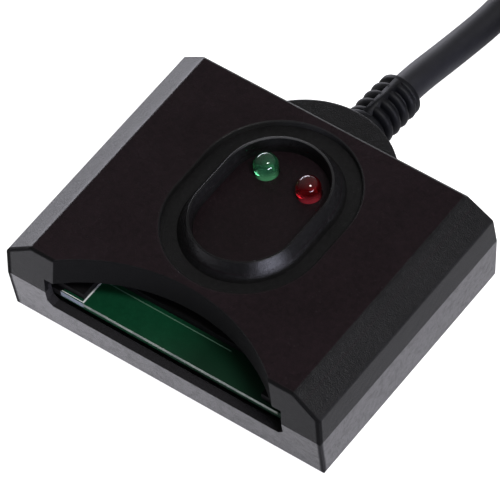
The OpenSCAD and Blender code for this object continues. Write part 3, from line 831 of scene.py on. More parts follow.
@dataclass(frozen=True)
class EdgeHighlights(Effect):
    """Painted highlights on the top's back edge, the collar rim's back and the moat wall's back."""

    NAME: ClassVar[str] = "painted_edge_highlights"
    BRINK_Z: ClassVar[Span] = (0.0221, 0.0223)
    RIM_Z: ClassVar[Span] = (0.02435, 0.0245)
    RIM_Y: ClassVar[Span] = (0.006, 0.013)
    RIM_X: ClassVar[Fade] = ((-0.003, 0.007), (0.8, 0.2))
    WALL_IN: ClassVar[Span] = (-0.0002, 0.0)
    WALL_OUT: ClassVar[Fade] = ((0.0004, 0.0005), (1.0, 0.0))
    WALL_FOOT: ClassVar[Span] = (0.02095, 0.0210)
    WALL_Y: ClassVar[Fade] = ((0.004, 0.016), (0.25, 1.0))
    WALL_Z: ClassVar[Fade] = ((0.0220, 0.02235), (0.24, 0.15))
    step_y: float = 0.02465
    step_gap: float = 0.0003
    moat_y: float = 0.00095
    moat_half: float = 0.0048
    moat_radius: float = 0.0167

    def fill(self, w: Wires, given: SimpleNamespace) -> tuple[Socket, ...]:
        """Give how strong the painted highlight is on each edge.

        Args:
            w: The group's wires.
            given: Its inputs, by field.

        Returns:
            The mask.
        """
        x, y, z = w.axes
        brink = w.times(w.near(y, given.step_y, given.step_gap), w.ramp(z, self.BRINK_Z))
        rim = w.times(w.ramp(z, self.RIM_Z), w.ramp(y, self.RIM_Y), w.ramp(x, *self.RIM_X))
        along = w.maths("ABSOLUTE", w.minus(y, given.moat_y))
        past = w.most(w.minus(along, given.moat_half), 0.0)
        out = w.minus(w.reach(past, x), given.moat_radius)
        band = w.times(w.ramp(out, self.WALL_IN), w.ramp(out, *self.WALL_OUT), w.ramp(z, self.WALL_FOOT))
        wall = w.times(band, w.ramp(y, *self.WALL_Y), w.ramp(z, *self.WALL_Z))
        return (w.most(brink, rim, wall),)


@dataclass(frozen=True)
class PaintedGlow(Effect):
    """A painted glow in a lamp's body: a crescent low on its front."""

    NAME: ClassVar[str] = "painted_lamp_glow"
    CRESCENT: ClassVar[Span] = (0.0010, 0.0023)
    LOW: ClassVar[Fade] = ((0.0213, 0.0231), (1.0, 0.0))
    axis_x: float = 0.0
    axis_y: float = LAMP_Y * MM
    toward_x: float = 0.67
    toward_y: float = -0.74

    def fill(self, w: Wires, given: SimpleNamespace) -> tuple[Socket, ...]:
        """Give the crescent of painted glow.

        Args:
            w: The group's wires.
            given: Its inputs, by field.

        Returns:
            The mask.
        """
        x, y, z = w.axes
        aside = w.times(w.minus(x, given.axis_x), given.toward_x)
        ahead = w.times(w.minus(y, given.axis_y), given.toward_y)
        reach = w.plus(aside, ahead)
        return (w.times(w.ramp(reach, self.CRESCENT), w.ramp(z, *self.LOW)),)


# Finishes


def shade(colour: Colour, share: float) -> Colour:
    """Darken a colour to a share of itself."""
    return tuple(c * share for c in colour)


@dataclass(frozen=True)
class Finish:
    """A finish, as the inputs of one Principled BSDF."""

    name: str

    def surface(self, w: Paint) -> dict[str, Source]:
        """Work out the shader's inputs.

        Args:
            w: The material's wires.

        Returns:
            Values and sources, by input.
        """
        raise NotImplementedError

    def material(self, shared: Groups) -> bpy.types.Material:
        """Build the material.

        Args:
            shared: The shared effects' groups.

        Returns:
            The material.
        """
        made = bpy.data.materials.new(self.name)
        made.use_nodes = True
        made.node_tree.nodes.clear()
        w = Paint(made.node_tree, shared)
        shader = w.out("ShaderNodeBsdfPrincipled", **self.surface(w))
        w.node("ShaderNodeOutputMaterial", Surface=shader)
        return made


class Mouth(NamedTuple):
    """The thumb cutout in one shell, inside which shade is painted."""

    radius: float
    low: float
    top: float


class Wear(NamedTuple):
    """Wear that sets in between two heights, and what it adds to the roughness where it is full."""

    low: float
    high: float
    change: float


class BoardShadow(NamedTuple):
    """A painted shadow on the board, which sets in between two places along X and darkens the colour."""

    near: float
    far: float
    tone: float


class ShadedPlanes(NamedTuple):
    """Flat faces, by their heights, and the tone that their colour is multiplied by, as painted shade."""

    heights: Span
    tone: Colour


@dataclass(frozen=True)
class Moulding(Finish):
    """A moulded plastic or rubber finish, lighter in the grain's pits and the handling marks.

    The scales are in cells a metre.
    """

    colour: Colour
    light: Colour
    roughness: float
    roughness_spread: float
    grain_scale: float
    grain_depth: float
    mottle_scale: float = 60.0
    dust: float = 0.0
    specular: float = 0.5
    coat: float = 0.0
    mouth: Mouth | None = None
    wear: Wear | None = None
    pour: BoardShadow | None = None
    planes: ShadedPlanes | None = None
    GRAIN_SHARE: ClassVar[float] = 0.75
    PLANE_GAP: ClassVar[float] = 0.00004
    DUST: ClassVar[Colour] = (0.32, 0.31, 0.3)
    # The colour of the painted edge highlights.
    RUBBED: ClassVar[Colour] = (0.075, 0.075, 0.076)
    # The share of its colour that the painted shade leaves.
    DARK: ClassVar[float] = 0.5
    WORN_DEPTH: ClassVar[float] = 0.42
    SHEEN_FROM: ClassVar[Span] = (0.0, 0.6)
    SHEEN_ONTO: ClassVar[Span] = (0.55, 1.4)

    def tinted(self, w: Paint, share: Socket) -> Socket:
        """Lay the finish's colours over each other.

        Args:
            w: The material's wires.
            share: The share of the light colour.

        Returns:
            The colour.
        """
        colour = w.blend(share, self.colour, self.light)
        # Painted shade: the flat faces at the given heights take a darker, warmer tone than the rest of the
        # finish.
        if self.planes:
            flat = w.most(*[w.near(w.axes[2], height, self.PLANE_GAP) for height in self.planes.heights])
            colour = w.blend(flat, colour, w.blend(1.0, colour, self.planes.tone, "MULTIPLY"))
        # Painted shadow: the colour darkens along X, towards the board's right.
        if self.pour:
            shadowed = w.ramp(w.axes[0], (self.pour.near, self.pour.far))
            colour = w.blend(shadowed, colour, shade(self.colour, self.pour.tone))
        if self.dust:
            colour = w.blend(w.times(w.effect(FineDust), self.dust), colour, self.DUST)
        return colour

    def surface(self, w: Paint) -> dict[str, Source]:
        """Lay colours, paint shade on the mouth and front edges, paint edge highlights, smooth what is worn.

        Args:
            w: The material's wires.

        Returns:
            Values and sources, by the shader's input.
        """
        height = w.effect(MouldedGrain, Scale=self.grain_scale)
        pits = height.node.outputs["Mask"]
        marks = w.effect(HandlingMarks, Scale=self.mottle_scale)
        share = w.plus(w.times(pits, self.GRAIN_SHARE), w.times(marks, 1 - self.GRAIN_SHARE), clamp=True)
        colour = self.tinted(w, share)
        rough = w.plus(w.times(marks, self.roughness_spread), self.roughness)
        coat = 0.0
        if self.coat:
            coat = w.ramp(pits, self.SHEEN_FROM, tuple(self.coat * part for part in self.SHEEN_ONTO))
        if self.mouth:
            radius, low, top = self.mouth
            mouth = w.effect(MouthShade, Radius=radius, Low=low, Top=top)
            # Painted shade in the mouth and on the front edges: their colour is darkened to a share of
            # itself.
            painted_shade = w.most(mouth, w.effect(FrontEdgeShade))
            # Painted highlights on some edges: their colour is lightened.
            painted_highlight = w.effect(EdgeHighlights)
            colour = w.blend(painted_highlight, w.blend(painted_shade, colour, shade(self.colour, self.DARK)), self.RUBBED)
            rough = w.plus(rough, painted_shade, clamp=True)
            if self.coat:
                coat = w.times(coat, w.minus(1.0, painted_shade), clamp=True)
        if self.wear:
            worn = w.ramp(w.axes[2], (self.wear.low, self.wear.high))
            rough = w.plus(rough, w.times(worn, self.wear.change))
            height = w.times(height, w.ramp(worn, (0.0, 1.0), (1.0, self.WORN_DEPTH)))
        return {"Base Color": colour, "Roughness": rough, "Specular IOR Level": self.specular,
                "Coat Weight": coat, "Coat Roughness": self.roughness,
                "Normal": w.bump(height, self.grain_depth)}


@dataclass(frozen=True)
class Metal(Finish):
    """A plated or stamped metal finish, duller in the handling marks."""

    colour: Colour
    dull: Colour
    roughness: float
    roughness_spread: float
    grain_scale: float = 3000.0
    grain_depth: float = 0.000004
    MOTTLE_SCALE: ClassVar[float] = 180.0

    def surface(self, w: Paint) -> dict[str, Source]:
        """Lay the two colours by the handling marks, over a fine grain.

        Args:
            w: The material's wires.

        Returns:
            Values and sources, by the shader's input.
        """
        height = w.effect(MouldedGrain, Scale=self.grain_scale)
        marks = w.effect(HandlingMarks, Scale=self.MOTTLE_SCALE)
        spread = w.times(marks, self.roughness_spread)
        return {"Metallic": 1.0, "Base Color": w.blend(marks, self.colour, self.dull),
                "Roughness": w.plus(spread, self.roughness), "Normal": w.bump(height, self.grain_depth)}


@dataclass(frozen=True)
class Epoxy(Finish):
    """A tinted clear epoxy, as of a lamp's body, with a painted glow."""

    tint: Colour
    axis_x: float
    caught: Colour
    clearness: float = 0.86
    roughness: float = 0.05
    roughness_spread: float = 0.02
    index: float = 1.53
    dim: float = 0.8
    MOTTLE_SCALE: ClassVar[float] = 400.0

    def surface(self, w: Paint) -> dict[str, Source]:
        """Lay the tint, and add the painted glow as emission.

        Args:
            w: The material's wires.

        Returns:
            Values and sources, by the shader's input.
        """
        marks = w.effect(HandlingMarks, Scale=self.MOTTLE_SCALE)
        # The painted glow: emission in a crescent low on the lamp's front.
        light = w.effect(PaintedGlow, Axis_x=self.axis_x)
        spread = w.times(marks, self.roughness_spread)
        return {"Transmission Weight": self.clearness, "IOR": self.index, "Emission Strength": 1.0,
                "Base Color": w.blend(marks, self.tint, shade(self.tint, self.dim)),
                "Emission Color": w.blend(light, (0.0, 0.0, 0.0), self.caught),
                "Roughness": w.plus(spread, self.roughness)}


@dataclass(frozen=True)
class Paper(Finish):
    """The floor's white paper, which throws more light back on the side of the left window."""

    tint: Colour
    near_glow: Fade
    far_glow: Fade
    grey: float = 0.6
    roughness: float = 0.9

    def surface(self, w: Paint) -> dict[str, Source]:
        """Glow in white for the camera, and by the side and in the tint for everything else.

        Args:
            w: The material's wires.

        Returns:
            Values and sources, by the shader's input.
        """
        seen = w.node("ShaderNodeLightPath").outputs["Is Camera Ray"]
        shares = [w.ramp(w.axes[0], *glow) for glow in (self.near_glow, self.far_glow)]
        return {"Base Color": shade(WHITE, self.grey), "Roughness": self.roughness,
                "Emission Color": w.blend(seen, self.tint, WHITE),
                "Emission Strength": w.most(w.plus(*shares), seen)}


class Palette:
    """Every finish of the reader and its studio, made once."""

    EFFECTS: tuple[Effect, ...] = (MouldedGrain(), HandlingMarks(), FineDust(), MouthShade(), FrontEdgeShade(),
                                   EdgeHighlights(), PaintedGlow())
    FINISHES: tuple[Finish, ...] = (
        # The shells carry painted shade in the mouth and on the front edges, and painted edge highlights; the
        # top shell also has painted shade on its flat faces.
        Moulding("top_black", (0.0055, 0.0053, 0.0055), (0.0143, 0.0138, 0.0143), 0.29, 0.06, 3400.0, 0.00006,
                 dust=0.03, specular=0.15, mouth=Mouth(0.04103, 0.01, 0.02225),
                 wear=Wear(0.0215, 0.0228, -0.085), planes=ShadedPlanes((0.0224, 0.0208), (1.16, 0.64, 0.8))),
        Moulding("base_black", (0.0090, 0.0070, 0.0090), (0.030, 0.0245, 0.0325), 0.32, 0.02, 2900.0, 0.00014,
                 coat=0.95, mouth=Mouth(0.0417, 0.0072, 0.0076)),
        # The board carries a painted shadow towards its right.
        Moulding("board_green", (0.0018, 0.036, 0.014), (0.0045, 0.058, 0.024), 0.34, 0.1, 2400.0, 0.000012,
                 specular=0.25, pour=BoardShadow(-0.004, 0.006, 0.55)),
        Moulding("black_moulding", (0.006, 0.006, 0.007), (0.016, 0.016, 0.018), 0.42, 0.12, 2600.0, 0.00002),
        Moulding("connector_black", (0.0022, 0.002, 0.0022), (0.006, 0.0055, 0.006), 0.6, 0.12, 2600.0,
                 0.00002, specular=0.15),
        Moulding("foot_rubber", (0.012, 0.012, 0.013), (0.03, 0.03, 0.031), 0.75, 0.12, 1800.0, 0.00004),
        Moulding("lead_vinyl", (0.0058, 0.0058, 0.0085), (0.011, 0.011, 0.0155), 0.55, 0.1, 1500.0, 0.00002,
                 mottle_scale=45.0, specular=0.42),
        Moulding("relief_vinyl", (0.0022, 0.0023, 0.0034), (0.005, 0.0053, 0.0075), 0.5, 0.1, 1800.0, 0.00003,
                 specular=0.2),
        Moulding("board_print", (0.62, 0.64, 0.62), (0.75, 0.77, 0.75), 0.6, 0.1, 3000.0, 0.000004),
        # Print dimmed as painted shade.
        Moulding("shaded_print", (0.05, 0.13, 0.08), (0.09, 0.18, 0.12), 0.6, 0.1, 3000.0, 0.000004),
        # Painted light on the board's cut edge.
        Moulding("lit_cut_edge", (0.2, 0.23, 0.28), (0.3, 0.34, 0.42), 0.5, 0.1, 3000.0, 0.00001),
        # Painted shade on the board's cut edge.
        Moulding("shaded_cut_edge", (0.14, 0.17, 0.15), (0.5, 0.53, 0.46), 0.7, 0.1, 900.0, 0.00001,
                 mottle_scale=260.0),
        Moulding("ivory_nylon", (0.62, 0.58, 0.48), (0.72, 0.69, 0.6), 0.38, 0.1, 1500.0, 0.00001),
        Moulding("can_sleeve", (0.015, 0.02, 0.05), (0.03, 0.035, 0.08), 0.3, 0.1, 900.0, 0.00001),
        Moulding("fired_ceramic", (0.28, 0.18, 0.1), (0.4, 0.28, 0.17), 0.5, 0.15, 3000.0, 0.00001),
        Moulding("red_insulation", (0.36, 0.01, 0.01), (0.45, 0.03, 0.02), 0.35, 0.1, 1500.0, 0.00001),
        Moulding("white_insulation", (0.62, 0.62, 0.62), (0.72, 0.72, 0.71), 0.35, 0.1, 1500.0, 0.00001),
        Moulding("green_insulation", (0.02, 0.2, 0.04), (0.04, 0.28, 0.07), 0.35, 0.1, 1500.0, 0.00001),
        Metal("zinc_plate", (0.5, 0.51, 0.53), (0.38, 0.38, 0.4), 0.28, 0.15),
        Metal("contact_gold", (0.85, 0.62, 0.27), (0.7, 0.49, 0.2), 0.18, 0.15),
        Metal("bright_tin", (0.68, 0.68, 0.7), (0.52, 0.52, 0.54), 0.22, 0.2),
        Metal("plug_nickel", (0.62, 0.62, 0.64), (0.48, 0.48, 0.5), 0.16, 0.14, 2200.0, 0.000003),
        # The lamps' bodies carry a painted glow.
        Epoxy("green_epoxy", (0.06, 0.29, 0.135), Side.GREEN.x * MM, (0.035, 0.13, 0.06)),
        Epoxy("red_epoxy", (0.26, 0.006, 0.01), Side.RED.x * MM, (0.13, 0.01, 0.016)),
        Paper("white_paper", (0.945, 0.93, 1.02), ((-0.03, 0.04), (0.6, 0.2)), ((-0.17, -0.06), (2.6, 0.0))),
    )

    def __init__(self) -> None:
        """Make the shared groups and every material."""
        shared = {type(effect): effect.group() for effect in self.EFFECTS}
        self.materials = {finish.name: finish.material(shared) for finish in self.FINISHES}

    def __getitem__(self, name: str) -> bpy.types.Material:
        """Find a material by its finish's name."""
        return self.materials[name]

    def dress(self, finish: str, *nodes: str) -> None:
        """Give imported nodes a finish.

        Args:
            finish: The finish's name.
            nodes: The nodes' names.
        """
        for node in nodes:
            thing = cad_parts[node]
            for slot in thing.material_slots:
                slot.material = self[finish]
            if not thing.material_slots:
                thing.data.materials.append(self[finish])
            LOG.info("dressed %s in %s", node, finish)


# Camera and studio


@dataclass
class PhotoCamera:
    """The photograph's camera, as solved from the housing's edges. Its scale is in pixels a millimetre."""

    azimuth: float = 42.02
    elevation: float = 52.42
    roll: float = -7.0
    distance: float = 1040.0
    scale: float = 5.21
    target: Point = (0.0, -3.4, 14.4)
    target_pixel: Pair = (250.48, 246.78)
    frame_pixels: tuple[int, int] = (500, 479)
    sensor: float = 36.0
    clip: Span = (0.05, 20.0)

    def build(self) -> None:
        """Make the camera and set it as the scene's."""
        turn, roll = math.radians(self.azimuth), math.radians(self.roll)
        back = heading(self.azimuth - 90, self.elevation)
        across = Vector((math.cos(turn), math.sin(turn), 0.0))
        up = back.cross(across)
        right = across * math.cos(roll) + up * math.sin(roll)
        rise = -across * math.sin(roll) + up * math.cos(roll)
        eye = Vector(self.target) + back * self.distance
        width, height = self.frame_pixels
        aim = (Vector(self.target) + right * ((width / 2 - self.target_pixel[0]) / self.scale)
               + rise * ((self.target_pixel[1] - height / 2) / self.scale))
        back = (eye - aim).normalized()
        right = (right - back * right.dot(back)).normalized()
        rise = back.cross(right)
        data = bpy.data.cameras.new("photo_camera")
        data.sensor_fit = "HORIZONTAL"
        data.sensor_width = self.sensor
        data.lens = self.scale * self.distance / width * self.sensor
        data.clip_start, data.clip_end = self.clip
        camera = linked("photo_camera", data)
        camera.matrix_world = Matrix.Translation(eye * MM) @ Matrix((right, rise, back)).transposed().to_4x4()
        bpy.context.scene.camera = camera


@dataclass(frozen=True)
class Softbox:
    """A rectangular studio light that looks at a point over the reader.

    Its place is given by its bearing from the reader, in degrees from +X, its height angle and its distance.
    """

    name: str
    bearing: float
    height: float
    distance: float
    size: Pair
    power: float
    colour: Colour = WHITE
    aim: Point = (0.0, 0.0, 16.0)

    def build(self) -> None:
        """Make the light, which the camera doesn't see."""
        away = heading(self.bearing, self.height)
        data = bpy.data.lights.new(self.name, "AREA")
        data.shape = "RECTANGLE"
        data.size, data.size_y = (s * MM for s in self.size)
        data.energy = self.power
        data.color = self.colour
        lamp = linked(self.name, data)
        lamp.visible_camera = False
        place = Matrix.Translation((Vector(self.aim) + away * self.distance) * MM)
        lamp.matrix_world = place @ away.to_track_quat("Z", "Y").to_matrix().to_4x4()


@dataclass
class Studio:
    """A pale, evenly lit floor in a dim room, with a window on each side and one small lamp overhead."""

    floor_half: float = 3000.0
    floor_z: float = -0.02
    sky_bearing: float = 120.0
    sky_height: float = 50.0
    sky: Fade = ((-0.2, 0.7), (0.012, 0.32))
    lights: tuple[Softbox, ...] = (
        Softbox("left_window", 144.0, 3.0, 900.0, (760.0, 120.0), 3.6, (0.88, 0.88, 1.0)),
        Softbox("right_window", -19.0, 9.0, 900.0, (600.0, 130.0), 7.4, (0.8, 0.81, 1.0)),
        Softbox("overhead_lamp", -8.0, 60.0, 800.0, (210.0, 210.0), 4.0),
    )

    def room(self) -> bpy.types.World:
        """Make the dim room, whose ceiling is lighter behind the reader than over the camera.

        Returns:
            The world.
        """
        made = bpy.data.worlds.new("studio_room")
        made.use_nodes = True
        w = Wires(made.node_tree)
        toward = w.node("ShaderNodeVectorMath", operation="DOT_PRODUCT")
        w.feed(toward.inputs[0], w.node("ShaderNodeTexCoord").outputs["Generated"])
        w.feed(toward.inputs[1], heading(self.sky_bearing, self.sky_height))
        ceiling = made.node_tree.nodes["Background"]
        w.feed(ceiling.inputs["Color"], WHITE)
        w.feed(ceiling.inputs["Strength"], w.ramp(toward.outputs["Value"], *self.sky))
        return made

    def build(self, palette: Palette) -> None:
        """Make the floor, the lights and the dim light of the room.

        Args:
            palette: The finishes.
        """
        half, z = self.floor_half, self.floor_z
        mesh = bpy.data.meshes.new("studio_floor")
        corners = metres([(-half, -half, z), (half, -half, z), (half, half, z), (-half, half, z)])
        mesh.from_pydata([tuple(corner) for corner in corners], [], [(0, 1, 2, 3)])
        mesh.materials.append(palette["white_paper"])
        linked("studio_floor", mesh)
        for light in self.lights:
            light.build()
        bpy.context.scene.world = self.room()
        bpy.context.scene.view_settings.view_transform = "Standard"


# Sub-assemblies


@dataclass
class Relief:
    """The strain relief: a core with ribs, spines and two rings, and a neck with a flange inside."""

    root: Point = (0.0, 32.2, 11.3)
    droop: float = 6.0
    length: float = 14.0
    core_r: float = 3.65
    root_r: float = 5.0
    end_r: float = 4.8
    root_ring: Span = (0.7, 2.1)
    end_ring: float = 12.5
    edge: float = 0.45
    edge_steps: int = 6
    spine_half: float = 0.8
    spine_r: float = 4.8
    spine_from: float = 1.4
    spine_to: float = 12.9
    neck_r: float = 3.9
    flange_r: float = 5.4
    flange_t: float = 1.6
    neck_over: float = 1.0
    left_ribs: tuple[float, ...] = (2.8, 5.4, 8.0, 10.6)
    right_ribs: tuple[float, ...] = (4.1, 6.7, 9.3, 11.9)
    rib_half: float = 0.98
    rib_h: float = 1.3
    rib_sweep: float = 164.0
    arc_steps: int = 28
    back_steps: int = 20
    steps: int = 64

    def ring(self, low: float, high: float, radius: float) -> list[Pair]:
        """Draw the profile of a ring with rounded edges, from its foot on the core to its other foot.

        Args:
            low: The ring's foot along the core.
            high: Its other foot.
            radius: Its outer radius.

        Returns:
            Radii and heights.
        """
        e = self.edge
        turns = [math.pi / 2 * k / self.edge_steps for k in range(self.edge_steps + 1)]
        near = [(radius - e + e * math.sin(a), low + e - e * math.cos(a)) for a in turns]
        far = [(radius - e + e * math.cos(a), high - e + e * math.sin(a)) for a in turns]
        return [*near, *far]

    def fill_body(self, work: bmesh.types.BMesh) -> None:
        """Fill the core with its root ring and end ring, and the spines, along Z.

        Args:
            work: The bmesh that takes them.
        """
        low, high = self.root_ring
        body = [(0.0, 0.0), (self.core_r, 0.0), (self.core_r, low), *self.ring(low, high, self.root_r),
                (self.core_r, high), (self.core_r, self.end_ring),
                *self.ring(self.end_ring, self.length, self.end_r), (0.0, self.length)]
        add_revolve(work, body, self.steps)
        add_box(work, (-self.spine_half, -self.spine_r, self.spine_from),
                (self.spine_half, self.spine_r, self.spine_to))

    def fill_root(self, work: bmesh.types.BMesh, flange_y: float) -> None:
        """Fill the neck and the flange inside the housing, along Z from the flange's front.

        Args:
            work: The bmesh that takes them.
            flange_y: Where the flange's front stands in the part's frame.
        """
        end = self.root[1] + self.neck_over - flange_y
        add_revolve(work, [(0.0, 0.0), (self.flange_r, 0.0), (self.flange_r, self.flange_t),
                           (self.neck_r, self.flange_t), (self.neck_r, end), (0.0, end)], self.steps)

    def rows(self, finish: bpy.types.Material) -> list[bpy.types.Mesh]:
        """Grow the left and the right row of ribs, along Z.

        Args:
            finish: The ribs' material.

        Returns:
            The two rows.
        """
        sweep = math.radians(self.rib_sweep)
        ribs = Grower.make("relief_ribs", rib_tree, core_radius=self.core_r * MM, rib_height=self.rib_h * MM,
                           rib_half_width=self.rib_half * MM, from_angle=0.0, sweep_angle=sweep,
                           arc_steps=self.arc_steps, back_steps=self.back_steps)
        return [ribs.grow("relief_row", points_of("rib_places", [(0.0, 0.0, z) for z in heights]), finish,
                          from_angle=middle - sweep / 2)
                for middle, heights in ((math.pi, self.left_ribs), (0.0, self.right_ribs))]

    def laid(self, mesh: bpy.types.Mesh, y: float, droop: float = 0.0) -> bpy.types.Mesh:
        """Lay a mesh that stands along Z down along +Y, from a Y on and with a droop in degrees.

        Args:
            mesh: The mesh.
            y: Where its foot goes.
            droop: How far it points down.

        Returns:
            The same mesh.
        """
        x, _, z = self.root
        place = Matrix.Translation(Vector((x, y, z)) * MM)
        mesh.transform(place @ Matrix.Rotation(math.radians(-90 - droop), 4, "X"))
        return mesh

    def build(self, palette: Palette) -> bpy.types.Object:
        """Make the relief as one piece that stands for its plainer solid.

        Args:
            palette: The finishes.

        Returns:
            The piece.
        """
        finish = palette["relief_vinyl"]
        flange_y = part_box("strain_relief")[0][1] / MM
        shells = [*self.rows(finish), mesh_of("relief_body", self.fill_body)]
        outside = [self.laid(shell, self.root[1], self.droop) for shell in shells]
        inside = mesh_of("relief_root", lambda work: self.fill_root(work, flange_y), smooth=False)
        mesh = joined("ribbed_relief", [*outside, self.laid(inside, flange_y)])
        relief = piece("ribbed_relief", mesh, finish)
        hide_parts("strain_relief")
        return relief


@dataclass
class Lead:
    """The captive lead: its free stretch, its stored coil and the tail to the plug."""

    diameter: float = 6.5
    sides: int = 24
    step: float = 1.6
    passes: int = 14
    exit: Point = (0.0, 46.123, 9.837)
    route: tuple[Point, ...] = (
        (0, 46.123, 9.837), (0, 49.355, 9.497), (0, 52.5, 8.7), (0, 56.3, 7.4), (0, 60.4, 6.1),
        (0.1, 64.5, 5.1), (0.3, 69, 4.2), (0.7, 73.5, 3.5), (1, 78, 3.25), (1, 86, 3.25), (1, 94.5, 3.25),
    )
    tail: tuple[Point, ...] = (
        (95, 94.5, 10.25), (95, 90, 10.25), (95, 84, 9.3), (95, 77, 7), (95, 70, 5.1), (95, 64, 4.4),
        (95, 60, 4.2), (95, 56, 4.2),
    )
    coil_centre: Pair = (48.0, 100.56)
    coil_outer: float = 47.0
    coil_step: float = 7.0
    turns: float = 6.5
    turn_steps: int = 96
    climb: float = 0.5
    lie_z: float = 3.25

    def coil_point(self, t: float) -> Vector:
        """Find the coil's centre line after t turns, in millimetres.

        Args:
            t: The number of turns from the coil's start.

        Returns:
            The point.
        """
        radius = self.coil_outer - self.coil_step * min(t, self.turns - t)
        rise = max(0.0, min(1.0, (t - self.turns / 2) / self.climb + 0.5))
        angle = math.radians(180 - 360 * t)
        x, y = self.coil_centre
        return Vector((x + radius * math.cos(angle), y + radius * math.sin(angle),
                       self.lie_z + self.coil_step * rise))

    def centre_line(self) -> list[Vector]:
        """Draw the whole centre line, in metres.

        Returns:
            Its points.
        """
        coil = [self.coil_point(i / self.turn_steps) for i in range(int(self.turns * self.turn_steps) + 1)]
        start = eased(smooth_path(metres([*self.route, coil[0]]), self.step * MM), self.passes)
        end = smooth_path(metres([coil[-1], *self.tail]), self.step * MM)
        return [*start[:-1], *metres(coil), *end[1:]]

    def build(self, palette: Palette, relief: bpy.types.Object) -> None:
        """Args:
            palette: The finishes.
            relief: The strain relief that it leaves. Not used.
        """
        path = self.centre_line()
        sweep = Grower.make("lead_sweep", sweep_tree, radius=self.diameter / 2 * MM, sides=self.sides)
        mesh = sweep.grow("lead", curve_of("lead_line", path), palette["lead_vinyl"])
        lead = piece("lead", mesh, palette["lead_vinyl"])
        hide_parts("cable_lead", "cable_coil", "cable_tail")


@dataclass
class SubAssembly:
    """A sub-assembly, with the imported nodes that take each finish."""

    DRESS: ClassVar[dict[str, tuple[str, ...]]] = {}

    def build(self, palette: Palette) -> None:
        """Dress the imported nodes.

        Args:
            palette: The finishes.
        """
        LOG.info("sub-assembly %s", type(self).__name__)
        for finish, nodes in self.DRESS.items():
            palette.dress(finish, *nodes)


@dataclass
class Housing(SubAssembly):
    """The two shells, the feet and the screws."""

    DRESS: ClassVar[dict[str, tuple[str, ...]]] = {
        "top_black": ("top_shell",),
        "base_black": ("bottom_shell",),
        "foot_rubber": ("rubber_feet",),
        "zinc_plate": ("housing_screws", "board_screws"),
    }


